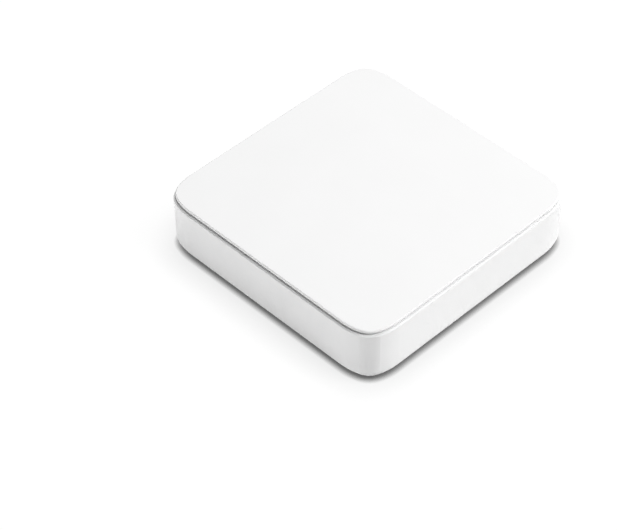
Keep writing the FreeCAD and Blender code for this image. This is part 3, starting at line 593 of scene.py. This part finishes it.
@dataclass
class Workshop:
    """Makes the finishes, and turns shapes into pieces that ride on a body."""

    materials: dict[Slot, bpy.types.Material] = field(default_factory=dict)
    smooth_angle: float = math.radians(35)

    def mix_finishes(self) -> None:
        """Make each finish once."""
        for finish in FINISHES:
            self.materials[finish.slot] = finish.build()
            log.info("finish %s", finish.slot.value)

    def dress_frame(self) -> None:
        """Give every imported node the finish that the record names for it."""
        for row in frame["record"]["subparts"]:
            mesh = frame["nodes"][row["node"]].data
            mesh.materials.clear()
            mesh.materials.append(self.materials[Slot(row["material_slot"])])
            log.info("dressed %s", row["node"])

    def piece(self, name: str, form: bmesh.types.BMesh, slot: Slot, body: str = "root") -> bpy.types.Object:
        """Turn a shape into a piece with its finish.

        Args:
            name: The piece's name.
            form: The shape, in metres in the object's frame, used up here.
            slot: The finish it takes.
            body: The body it rides on.

        Returns:
            The new object.
        """
        bmesh.ops.remove_doubles(form, verts=form.verts, dist=MERGE)
        bmesh.ops.recalc_face_normals(form, faces=form.faces)
        mesh = bpy.data.meshes.new(name)
        form.to_mesh(mesh)
        form.free()
        mesh.shade_smooth()
        mesh.set_sharp_from_angle(angle=self.smooth_angle)
        mesh.materials.append(self.materials[slot])
        made = bpy.data.objects.new(name, mesh)
        bpy.context.scene.collection.objects.link(made)
        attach(made, body)
        log.info("piece %s, %d faces", name, len(mesh.polygons))
        return made


def turned(profile: list[tuple[float, float]], steps: int) -> bmesh.types.BMesh:
    """Turn a profile about the upright axis.

    Args:
        profile: Radius and height of each point, from the axis round to the axis.
        steps: Steps in the full turn.

    Returns:
        The closed shape.
    """
    form = bmesh.new()
    points = [form.verts.new((radius, 0.0, height)) for radius, height in profile]
    edges = [form.edges.new(pair) for pair in zip(points, points[1:])]
    bmesh.ops.spin(
        form, geom=points + edges, cent=(0, 0, 0), axis=(0, 0, 1), angle=FULL_TURN, steps=steps,
        use_merge=True)
    bmesh.ops.remove_doubles(form, verts=form.verts, dist=MERGE)
    return form


def repeat(form: bmesh.types.BMesh, places: list[Vector]) -> None:
    """Put copies of a shape at each place, and take away the first one.

    Args:
        form: The shape, drawn at the origin.
        places: Where the copies go.
    """
    first = form.verts[:] + form.edges[:] + form.faces[:]
    for place in places:
        copy = bmesh.ops.duplicate(form, geom=first)["geom"]
        moved = [part for part in copy if isinstance(part, bmesh.types.BMVert)]
        bmesh.ops.translate(form, verts=moved, vec=place)
    bmesh.ops.delete(form, geom=first, context="VERTS")


def block(form: bmesh.types.BMesh, low: Vector, high: Vector, bevel: float) -> None:
    """Add a block with softened edges to a shape.

    Args:
        form: The shape to add to.
        low: The block's lowest corner.
        high: Its highest corner.
        bevel: Width of the softened edges.
    """
    matrix = Matrix.Translation((low + high) / 2) @ Matrix.Diagonal((*(high - low), 1.0))
    verts = bmesh.ops.create_cube(form, size=1.0, matrix=matrix)["verts"]
    edges = list({edge for vert in verts for edge in vert.link_edges})
    bmesh.ops.bevel(form, geom=edges, offset=bevel, segments=2, profile=0.5, affect="EDGES", material=-1)


def bent_strip(path: list[Vector], width: float, thickness: float) -> bmesh.types.BMesh:
    """Bend a strip of sheet metal along a path.

    Args:
        path: Points of the path, in the plane of Y and Z.
        width: Width of the strip along X.
        thickness: Thickness of the sheet.

    Returns:
        The closed shape.
    """
    form = bmesh.new()
    aside = Vector((width / 2, 0, 0))
    points = [form.verts.new(point - aside) for point in path]
    edges = [form.edges.new(pair) for pair in zip(points, points[1:])]
    drawn = bmesh.ops.extrude_edge_only(form, edges=edges)["geom"]
    moved = [part for part in drawn if isinstance(part, bmesh.types.BMVert)]
    bmesh.ops.translate(form, verts=moved, vec=aside * 2)
    bmesh.ops.solidify(form, geom=form.faces[:], thickness=thickness)
    return form


def join(form: bmesh.types.BMesh, other: bmesh.types.BMesh, matrix: Matrix) -> None:
    """Add another shape to a shape, and use it up.

    Args:
        form: The shape to add to.
        other: The shape to add.
        matrix: Where it goes.
    """
    bmesh.ops.transform(other, matrix=matrix, verts=other.verts)
    mesh = bpy.data.meshes.new("joined")
    other.to_mesh(mesh)
    other.free()
    form.from_mesh(mesh)
    bpy.data.meshes.remove(mesh)


@dataclass(frozen=True)
class ScrewSet:
    """Pan head screws with a cross recess and a rolled thread, in place of plain ones.

    The tip, the crest and the root are shares of the core's radius. The run-in, the flank and the land
    are shares of the pitch. The dome and the recess are shares of the head's radius and height.
    """

    node: str
    layout: Layout
    head_radius: float
    head_height: float
    core_radius: float
    pitch: float
    head_down: bool
    steps: int = 32
    thread_steps: int = 14
    tip: float = 0.55
    run_in: float = 0.7
    dome_inset: float = 0.3
    dome_steps: int = 5
    recess_arm: float = 0.52
    recess_width: float = 0.26
    recess_depth: float = 0.6
    recess_taper: float = 0.7
    crest: float = 1.27
    root: float = 0.9
    flank: float = 0.4
    land: float = 0.1

    def head(self, length: float) -> list[tuple[float, float]]:
        """Half section of the shank and the head, from the tip up.

        Args:
            length: Length of the shank.

        Returns:
            Radius and height of each point.
        """
        profile = [(0.0, 0.0), (self.core_radius * self.tip, 0.0)]
        profile += [(self.core_radius, self.pitch * self.run_in), (self.core_radius, length)]
        profile.append((self.head_radius, length))
        rise = self.head_height / 2
        for step in range(self.dome_steps + 1):
            angle = QUARTER_TURN * step / self.dome_steps
            inward = self.head_radius * self.dome_inset * (1 - math.cos(angle))
            profile.append((self.head_radius - inward, length + rise * (1 + math.sin(angle))))
        profile.append((0.0, length + self.head_height))
        return profile

    def press_recess(self, form: bmesh.types.BMesh, top: float) -> None:
        """Press a tapered cross into the flat top of the head.

        Args:
            form: The screw.
            top: Height of the flat top.
        """
        arm = self.head_radius * self.recess_arm
        width = self.head_radius * self.recess_width
        form.normal_update()
        fan = [face for face in form.faces if abs(face.calc_center_median().z - top) < MERGE]
        flat = bmesh.ops.dissolve_faces(form, faces=fan, use_verts=True)["region"]
        for normal in (Vector((1, 0, 0)), Vector((0, 1, 0))):
            for reach in (-arm, -width / 2, width / 2, arm):
                around = {part for face in flat for part in (face, *face.edges, *face.verts)}
                bmesh.ops.bisect_plane(form, geom=list(around), plane_co=normal * reach, plane_no=normal)
                flat = [face for face in form.faces if abs(face.calc_center_median().z - top) < MERGE]
        cross = []
        for face in flat:
            middle = face.calc_center_median()
            near, far = sorted((abs(middle.x), abs(middle.y)))
            if near < width / 2 and far < arm:
                cross.append(face)
        pressed = bmesh.ops.extrude_face_region(form, geom=cross)["geom"]
        bmesh.ops.delete(form, geom=cross, context="FACES")
        verts = [part for part in pressed if isinstance(part, bmesh.types.BMVert)]
        bmesh.ops.translate(form, verts=verts, vec=(0, 0, -self.head_height * self.recess_depth))
        bmesh.ops.scale(form, verts=verts, vec=(self.recess_taper, self.recess_taper, 1.0))

    def wind_thread(self, form: bmesh.types.BMesh, length: float) -> None:
        """Wind the thread's ridge round the shank.

        Args:
            form: The screw.
            length: Length of the shank.
        """
        bottom = self.pitch * self.run_in
        radii = (self.root, self.crest, self.crest, self.root)
        rises = (0.0, self.flank, self.flank + self.land, self.flank * 2 + self.land)
        corners = []
        for radius, rise in zip(radii, rises):
            corners.append(form.verts.new((self.core_radius * radius, 0.0, bottom + self.pitch * rise)))
        turns = int((length - bottom) / self.pitch) - 1
        bmesh.ops.spin(
            form, geom=[form.faces.new(corners)], cent=(0, 0, 0), axis=(0, 0, 1), angle=FULL_TURN * turns,
            steps=self.thread_steps * turns, dvec=(0, 0, self.pitch / self.thread_steps))

    def build(self, workshop: Workshop) -> None:
        """Make the set and let it stand for the plain screws.

        Args:
            workshop: Where pieces are made.
        """
        low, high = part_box(self.node)
        length = high.z - low.z - self.head_height
        form = turned(self.head(length), self.steps)
        self.press_recess(form, length + self.head_height)
        self.wind_thread(form, length)
        if self.head_down:
            bmesh.ops.rotate(form, cent=(0, 0, 0), matrix=Matrix.Rotation(math.pi, 3, "X"), verts=form.verts)
        foot = high.z if self.head_down else low.z
        middle = (low + high) / 2
        reach = (high - low) / 2 - Vector((self.head_radius, self.head_radius, 0))
        signs = self.layout.value
        repeat(form, [Vector((middle.x + x * reach.x, middle.y + y * reach.y, foot)) for x, y in signs])
        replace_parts(workshop.piece("threaded_" + self.node, form, Slot.SCREW), self.node)


@dataclass(frozen=True)
class CapacitorCans:
    """Drawn cans with a crimp above a square base with softened edges, in place of plain ones."""

    base_height: float = CAN_BASE
    crimp_height: float = 1.2 * MM
    crimp_start: float = 0.6
    crimp_depth: float = 0.3 * MM
    crimp_steps: int = 8
    top_rim: float = 0.45 * MM
    rim_steps: int = 5
    dish: tuple[float, float] = (0.8, 0.76)
    base_bevel: float = 0.15 * MM
    steps: int = 48

    def profile(self, radius: float, height: float) -> list[tuple[float, float]]:
        """Half section of a can that stands on its base.

        Args:
            radius: The can's radius.
            height: Its height over the board.

        Returns:
            Radius and height of each point.
        """
        points = [(0.0, self.base_height), (radius, self.base_height)]
        for step in range(self.crimp_steps + 1):
            share = step / self.crimp_steps
            rise = self.base_height + self.crimp_height * (self.crimp_start + share)
            points.append((radius - self.crimp_depth * math.sin(math.pi * share), rise))
        for step in range(self.rim_steps + 1):
            turn = QUARTER_TURN * step / self.rim_steps
            inward = self.top_rim * (1 - math.cos(turn))
            points.append((radius - inward, height - self.top_rim * (1 - math.sin(turn))))
        sunk = height - self.crimp_depth / 2
        points += [(radius * self.dish[0], height), (radius * self.dish[1], sunk), (0.0, sunk)]
        return points

    def build(self, workshop: Workshop) -> None:
        """Make the cans and let them stand for the plain ones.

        Args:
            workshop: Where pieces are made.
        """
        low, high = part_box("electrolytic_capacitors")
        side = high.y - low.y
        form = turned(self.profile(side / 2 - self.crimp_depth / 2, high.z - low.z), self.steps)
        half = Vector((side / 2, side / 2, 0))
        block(form, -half, half + Vector((0, 0, self.base_height)), self.base_bevel)
        middle = (low + high) / 2
        reach = (high.x - low.x - side) / 2
        repeat(form, [Vector((middle.x + sign * reach, middle.y, low.z)) for sign in (-1, 1)])
        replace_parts(workshop.piece("crimped_cans", form, Slot.CAN), "electrolytic_capacitors")


@dataclass(frozen=True)
class SpringLeaf:
    """Strip bowed to a shallow arc, which presses on a plug."""

    width: float
    length: float
    bow: float
    thickness: float = 0.15 * MM
    steps: int = 8

    def form(self) -> bmesh.types.BMesh:
        """Bend one leaf along Y that bulges towards +Z from zero.

        Returns:
            The closed shape.
        """
        path = []
        for step in range(self.steps + 1):
            share = step / self.steps
            path.append(Vector((0, (share - 0.5) * self.length, self.bow * math.sin(math.pi * share))))
        return bent_strip(path, self.width, self.thickness)


@dataclass(frozen=True)
class SocketSprings:
    """Bowed leaves on the inside of the metal sockets and of the power inlet."""

    hdmi: SpringLeaf = SpringLeaf(width=1.5 * MM, length=5.0 * MM, bow=0.45 * MM)
    usb: SpringLeaf = SpringLeaf(width=1.6 * MM, length=6.5 * MM, bow=0.5 * MM)
    power: SpringLeaf = SpringLeaf(width=1.8 * MM, length=6.5 * MM, bow=0.6 * MM)
    wall: float = 0.35 * MM
    set_back: float = 1.4 * MM
    spacing: float = 3.3 * MM
    inlet_bore: float = 3.0 * MM
    inlet_axis: float = 6.4 * MM

    def build(self, workshop: Workshop) -> None:
        """Make the leaves of every socket.

        Args:
            workshop: Where pieces are made.
        """
        steel = bmesh.new()
        self.line_hdmi(steel)
        self.line_usb(steel)
        workshop.piece("socket_spring_leaves", steel, Slot.TINNED)
        low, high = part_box("power_inlet")
        leaf = bmesh.new()
        deep = high.y - self.set_back - self.power.length / 2
        bottom = low.z + self.inlet_axis - self.inlet_bore
        join(leaf, self.power.form(), Matrix.Translation(((low.x + high.x) / 2, deep, bottom)))
        workshop.piece("power_inlet_leaf", leaf, Slot.NICKEL)

    def line_hdmi(self, form: bmesh.types.BMesh) -> None:
        """Two leaves on the roof and two on the floor of the HDMI shell.

        Args:
            form: The shape to add to.
        """
        low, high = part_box("hdmi_shell")
        deep = high.y - self.set_back - self.hdmi.length / 2
        for sign in (-1, 1):
            across = (low.x + high.x) / 2 + sign * self.spacing
            join(form, self.hdmi.form(), Matrix.Translation((across, deep, low.z + self.wall)))
            roof = Matrix.Translation((across, deep, high.z - self.wall))
            join(form, self.hdmi.form(), roof @ Matrix.Rotation(math.pi, 4, "Y"))

    def line_usb(self, form: bmesh.types.BMesh) -> None:
        """Two leaves on the floor and one on each side of the USB type A shell.

        Args:
            form: The shape to add to.
        """
        low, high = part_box("usb_a_shell")
        deep = high.x - self.set_back - self.usb.length / 2
        middle = (low.y + high.y) / 2
        lying = Matrix.Rotation(-math.pi / 2, 4, "Z")
        for sign in (-1, 1):
            floor = Matrix.Translation((deep, middle + sign * self.spacing, low.z + self.wall))
            join(form, self.usb.form(), floor @ lying)
            side = middle + sign * ((high.y - low.y) / 2 - self.wall)
            upright = Matrix.Translation((deep, side, low.z + self.usb.width))
            join(form, self.usb.form(), upright @ Matrix.Rotation(sign * math.pi / 2, 4, "X") @ lying)


@dataclass(frozen=True)
class NetworkWindows:
    """Two lamp windows beside the latch of the network socket."""

    size: Place = (2.8 * MM, 0.6 * MM, 1.8 * MM)
    corner: float = 0.7 * MM
    proud: float = 0.12 * MM
    bevel: float = 0.15 * MM

    def build(self, workshop: Workshop) -> None:
        """Make both windows.

        Args:
            workshop: Where pieces are made.
        """
        low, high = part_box("ethernet_socket")
        size = Vector(self.size)
        form = bmesh.new()
        front = high.y + self.proud - size.y
        for left in (low.x + self.corner, high.x - self.corner - size.x):
            start = Vector((left, front, low.z + self.corner))
            block(form, start, start + size, self.bevel)
        workshop.piece("network_lamp_windows", form, Slot.CLEAR)


@dataclass(frozen=True)
class TransformerLegs:
    """Gull wing legs down both sides of the network transformer."""

    count: int = 10
    pitch: float = 1.5 * MM
    width: float = 0.5 * MM
    thickness: float = 0.2 * MM
    shoulder: float = 2.6 * MM
    reach: float = 0.55 * MM
    foot: float = 0.8 * MM

    def build(self, workshop: Workshop) -> None:
        """Make both rows of legs.

        Args:
            workshop: Where pieces are made.
        """
        low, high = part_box("ethernet_transformer")
        form = bmesh.new()
        knee = Vector((0, self.reach, self.shoulder))
        heel = Vector((0, self.reach + self.thickness, self.thickness))
        toe = heel + Vector((0, self.foot, 0))
        path = [Vector((0, -self.thickness, self.shoulder)), knee, heel, toe]
        for sign, side in ((-1, low.x), (1, high.x)):
            turn = Matrix.Rotation(-sign * math.pi / 2, 4, "Z")
            for index in range(self.count):
                along = (low.y + high.y) / 2 + (index - (self.count - 1) / 2) * self.pitch
                place = Matrix.Translation((side, along, low.z))
                join(form, bent_strip(path, self.width, self.thickness), place @ turn)
        workshop.piece("transformer_legs", form, Slot.TINNED)


@dataclass(frozen=True)
class ChipField:
    """A patch of small two-ended chips: its middle in millimetres, and its columns and rows."""

    x: float
    y: float
    columns: int
    rows: int


@dataclass(frozen=True)
class SmallChips:
    """Resistors and ceramic capacitors in patches on the main board."""

    fields: tuple[ChipField, ...] = (
        ChipField(x=33.0, y=-8.0, columns=5, rows=4),
        ChipField(x=30.0, y=6.0, columns=4, rows=3),
        ChipField(x=-38.0, y=-22.0, columns=4, rows=3),
        ChipField(x=-10.0, y=30.0, columns=5, rows=3),
        ChipField(x=8.0, y=-36.0, columns=6, rows=2),
    )
    size: Place = (1.6 * MM, 0.8 * MM, 0.7 * MM)
    cap: float = 0.35 * MM
    spacing: tuple[float, float] = (2.4 * MM, 2.0 * MM)
    bevel: float = 0.06 * MM

    def places(self) -> list[Vector]:
        """Where every chip stands on the board.

        Returns:
            The middle of each chip's underside.
        """
        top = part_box("main_board")[1].z
        found = []
        for patch in self.fields:
            for column in range(patch.columns):
                for row in range(patch.rows):
                    x = patch.x * MM + (column - (patch.columns - 1) / 2) * self.spacing[0]
                    y = patch.y * MM + (row - (patch.rows - 1) / 2) * self.spacing[1]
                    found.append(Vector((x, y, top)))
        return found

    def build(self, workshop: Workshop) -> None:
        """Make the bodies and their soldered ends.

        Args:
            workshop: Where pieces are made.
        """
        half = Vector((self.size[0] / 2, self.size[1] / 2, 0))
        rise = Vector((0, 0, self.size[2]))
        skin = Vector((0, 1, 1)) * self.bevel / 2
        bodies = bmesh.new()
        inner = half - Vector((self.cap / 2, 0, 0))
        block(bodies, -inner, inner + rise, self.bevel)
        repeat(bodies, self.places())
        workshop.piece("small_chip_bodies", bodies, Slot.FERRITE)
        ends = bmesh.new()
        for sign in (-1, 1):
            outer = Vector((sign * half.x, 0, 0))
            start = outer - Vector((max(sign, 0) * self.cap, half.y, 0)) - Vector((0, skin.y, 0))
            block(ends, start, start + Vector((self.cap, self.size[1], self.size[2])) + skin * 2, self.bevel)
        repeat(ends, self.places())
        workshop.piece("small_chip_ends", ends, Slot.TINNED)


@dataclass(frozen=True)
class RubberFeet:
    """Four pads, each turned with a round rim, a ring groove and a shallow dish."""

    rim: float = 0.45 * MM
    rim_steps: int = 5
    groove_radius: float = 3.9 * MM
    groove_width: float = 0.35 * MM
    groove_depth: float = 0.25 * MM
    dish_radius: float = 2.2 * MM
    dish_depth: float = 0.2 * MM
    dish_flat: float = 0.7
    steps: int = 48

    def profile(self, radius: float, height: float) -> list[tuple[float, float]]:
        """Half section of one pad, from the middle of its underside up to the middle of its top.

        Args:
            radius: The pad's radius.
            height: Its height.

        Returns:
            Radius and height of each point.
        """
        flat = self.dish_radius * self.dish_flat
        points = [(0.0, self.dish_depth), (flat, self.dish_depth), (self.dish_radius, 0.0)]
        for share, depth in ((-1, 0.0), (-0.5, self.groove_depth), (0.5, self.groove_depth), (1, 0.0)):
            points.append((self.groove_radius + self.groove_width * share, depth))
        for step in range(self.rim_steps + 1):
            angle = QUARTER_TURN * step / self.rim_steps
            out = self.rim * math.sin(angle)
            up = self.rim * (1 - math.cos(angle))
            points.append((radius - self.rim + out, up))
        points += [(radius, height), (0.0, height)]
        return points

    def build(self, workshop: Workshop) -> None:
        """Make the pads and let them stand for the plain ones.

        Args:
            workshop: Where pieces are made.
        """
        low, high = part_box("rubber_feet")
        height = high.z - low.z
        radius = self.radius_of(low)
        form = turned(self.profile(radius, height), self.steps)
        reach_x = high.x - radius
        reach_y = high.y - radius
        repeat(form, [Vector((side * reach_x, end * reach_y, low.z)) for side in (-1, 1) for end in (-1, 1)])
        pads = workshop.piece("turned_feet", form, Slot.FEET)
        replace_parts(pads, "rubber_feet")

    @staticmethod
    def radius_of(low: Vector) -> float:
        """Radius of a pad: half the width that the pads on the left side take."""
        near = [v.co.x for v in frame["nodes"]["rubber_feet"].data.vertices if v.co.x < 0]
        return (max(near) - low.x) / 2


SCREWS: tuple[ScrewSet, ...] = (
    ScrewSet(
        "housing_screws", Layout.CORNERS, head_radius=2.7 * MM, head_height=1.9 * MM,
        core_radius=1.1 * MM, pitch=1.0 * MM, head_down=True),
    ScrewSet(
        "board_screws", Layout.DIAGONAL, head_radius=2.1 * MM, head_height=1.3 * MM,
        core_radius=0.79 * MM, pitch=0.5 * MM, head_down=False),
    ScrewSet(
        "heatsink_screws", Layout.COLUMN, head_radius=2.0 * MM, head_height=1.2 * MM,
        core_radius=0.79 * MM, pitch=0.5 * MM, head_down=True),
)

DETAILS = (
    RubberFeet(),
    *SCREWS,
    CapacitorCans(),
    SocketSprings(),
    NetworkWindows(),
    TransformerLegs(),
    SmallChips(),
)


@dataclass(frozen=True)
class Lamp:
    """A square soft lamp that faces the object, in metres and watts."""

    name: str
    place: Place
    size: float
    power: float

    def hang(self) -> None:
        """Add the lamp to the scene."""
        data = bpy.data.lights.new(self.name, "AREA")
        data.size = self.size
        data.energy = self.power
        lamp = bpy.data.objects.new(self.name, data)
        lamp.location = self.place
        lamp.rotation_euler = Vector(self.place).to_track_quat("Z", "Y").to_euler()
        bpy.context.scene.collection.objects.link(lamp)


@dataclass(frozen=True)
class PaintedShadow:
    """Painted shadow: darkening of the floor's glow close under the object, not cast by a lamp.

    It takes a reach in millimetres, how open to the sky the darkest and the lightest place are, and
    the tone of each.
    """

    reach: float
    openness: tuple[float, float]
    tone: tuple[float, float]
    samples: int = 16

    def build(self, tree: bpy.types.NodeTree) -> Socket:
        """Add the shade to a node tree.

        Args:
            tree: The node tree to work in.

        Returns:
            The tone output.
        """
        nearness = tree.nodes.new("ShaderNodeAmbientOcclusion")
        nearness.inputs["Distance"].default_value = self.reach * MM
        nearness.samples = self.samples
        tone = tree.nodes.new("ShaderNodeMapRange")
        tone.inputs["From Min"].default_value, tone.inputs["From Max"].default_value = self.openness
        tone.inputs["To Min"].default_value, tone.inputs["To Max"].default_value = self.tone
        tree.links.new(nearness.outputs["AO"], tone.inputs["Value"])
        return tone.outputs["Result"]


@dataclass(frozen=True)
class Studio:
    """Floor, soft lights and the camera of the photograph.

    The focal length and the centre are pixels of the photograph, the camera's distance and target
    millimetres, and the sky and its sheen the strength of its light and of its reflection.
    """

    width: int = 617
    height: int = 530
    sensor: float = 36.0
    focal: float = 2269.3
    centre_x: float = 336.9
    centre_y: float = 225.7
    azimuth: float = -45.08
    elevation: float = 43.91
    distance: float = 928.0
    target: Place = (-2.67, 14.67, 0.0)
    sky: float = 0.1
    sheen: float = 0.45
    floor_size: float = 3.0
    floor_tone: float = 0.9
    floor_roughness: float = 0.9
    # Painted shadow on the floor: the share of the glow that carries it for camera rays, and its two
    # darkenings
    painted_shadow_share: float = 0.94
    painted_shadows: tuple[PaintedShadow, PaintedShadow] = (
        PaintedShadow(3.2, openness=(0.42, 0.97), tone=(0.14, 1.02)),
        PaintedShadow(14.0, openness=(0.5, 1.0), tone=(0.85, 1.0)),
    )
    lamps: tuple[Lamp, ...] = (
        Lamp("key", (1.05, -1.62, 2.3), size=1.2, power=86.0),
        Lamp("right", (1.6, 0.6, 2.46), size=1.2, power=39.0),
        Lamp("left", (-2.25, 1.3, 0.12), size=0.22, power=30.0),
    )

    def camera(self) -> None:
        """Stand the camera where the photograph was taken."""
        data = bpy.data.cameras.new("camera")
        data.sensor_width = self.sensor
        data.sensor_fit = "HORIZONTAL"
        data.lens = self.focal / self.width * self.sensor
        data.shift_x = (self.width / 2 - self.centre_x) / self.width
        data.shift_y = (self.centre_y - self.height / 2) / self.width
        azimuth = math.radians(self.azimuth)
        elevation = math.radians(self.elevation)
        level = math.cos(elevation)
        back = Vector((math.sin(azimuth) * level, -math.cos(azimuth) * level, math.sin(elevation)))
        camera = bpy.data.objects.new("camera", data)
        camera.location = (Vector(self.target) + back * self.distance) * MM
        camera.rotation_euler = back.to_track_quat("Z", "Y").to_euler()
        bpy.context.scene.collection.objects.link(camera)
        bpy.context.scene.camera = camera

    def seen(self, tree: bpy.types.NodeTree) -> Socket:
        """How much of a ray comes from the camera, a reflection or through glass.

        Args:
            tree: The node tree to work in.

        Returns:
            The value output, 1 for a plain view.
        """
        path = tree.nodes.new("ShaderNodeLightPath")
        found = path.outputs["Is Camera Ray"]
        for name, share in (("Is Glossy Ray", self.sheen), ("Is Transmission Ray", 1.0)):
            more = tree.nodes.new("ShaderNodeMath")
            more.operation = "MULTIPLY_ADD"
            more.inputs[1].default_value = share
            tree.links.new(path.outputs[name], more.inputs[0])
            tree.links.new(found, more.inputs[2])
            found = more.outputs[0]
        return found

    def world(self) -> None:
        """Even light from all round, which looks plain white."""
        world = bpy.data.worlds.new("studio")
        world.use_nodes = True
        tree = world.node_tree
        light = tree.nodes["Background"]
        light.inputs["Color"].default_value = (1.0, 1.0, 1.0, 1.0)
        light.inputs["Strength"].default_value = self.sky
        white = tree.nodes.new("ShaderNodeBackground")
        white.inputs["Color"].default_value = (1.0, 1.0, 1.0, 1.0)
        white.inputs["Strength"].default_value = 1.0
        mix = tree.nodes.new("ShaderNodeMixShader")
        tree.links.new(self.seen(tree), mix.inputs["Fac"])
        tree.links.new(light.outputs[0], mix.inputs[1])
        tree.links.new(white.outputs[0], mix.inputs[2])
        tree.links.new(mix.outputs[0], tree.nodes["World Output"].inputs["Surface"])
        bpy.context.scene.world = world

    def floor_finish(self) -> bpy.types.Material:
        """White floor that glows, with a painted shadow, short and soft, where it lies close under the
        object; a small share of real lit paint keeps some real shadow.

        Returns:
            The material.
        """
        material = bpy.data.materials.new("floor")
        material.use_nodes = True
        tree = material.node_tree
        paint = tree.nodes["Principled BSDF"]
        paint.inputs["Base Color"].default_value = (self.floor_tone,) * 3 + (1.0,)
        paint.inputs["Roughness"].default_value = self.floor_roughness
        glow = tree.nodes.new("ShaderNodeEmission")
        # Painted shadow: the glow is darkened where the floor lies close under the object
        dark = tree.nodes.new("ShaderNodeMath")
        dark.operation = "MULTIPLY"
        for shade, socket in zip(self.painted_shadows, dark.inputs):
            tree.links.new(shade.build(tree), socket)
        tree.links.new(dark.outputs[0], glow.inputs["Strength"])
        # Camera rays see mostly the glow with its painted shadow, and a small share of real lit paint
        share = tree.nodes.new("ShaderNodeMath")
        share.operation = "MULTIPLY"
        share.inputs[1].default_value = self.painted_shadow_share
        tree.links.new(self.seen(tree), share.inputs[0])
        mix = tree.nodes.new("ShaderNodeMixShader")
        tree.links.new(share.outputs[0], mix.inputs["Fac"])
        tree.links.new(paint.outputs[0], mix.inputs[1])
        tree.links.new(glow.outputs[0], mix.inputs[2])
        tree.links.new(mix.outputs[0], tree.nodes["Material Output"].inputs["Surface"])
        return material

    def floor(self) -> None:
        """Lay a pale floor that runs out of sight."""
        form = bmesh.new()
        bmesh.ops.create_grid(form, x_segments=1, y_segments=1, size=self.floor_size)
        mesh = bpy.data.meshes.new("floor")
        form.to_mesh(mesh)
        form.free()
        mesh.materials.append(self.floor_finish())
        floor = bpy.data.objects.new("floor", mesh)
        bpy.context.scene.collection.objects.link(floor)

    def build(self) -> None:
        """Set up the whole studio."""
        bpy.context.scene.view_settings.view_transform = "Standard"
        self.camera()
        self.world()
        self.floor()
        for lamp in self.lamps:
            lamp.hang()
        log.info("studio ready")


def main() -> None:
    """Build the studio, the finishes and every piece, in order."""
    logging.basicConfig(level=logging.INFO)
    Studio().build()
    workshop = Workshop()
    workshop.mix_finishes()
    workshop.dress_frame()
    for detail in DETAILS:
        detail.build(workshop)


if __name__ == "__main__":
    main()
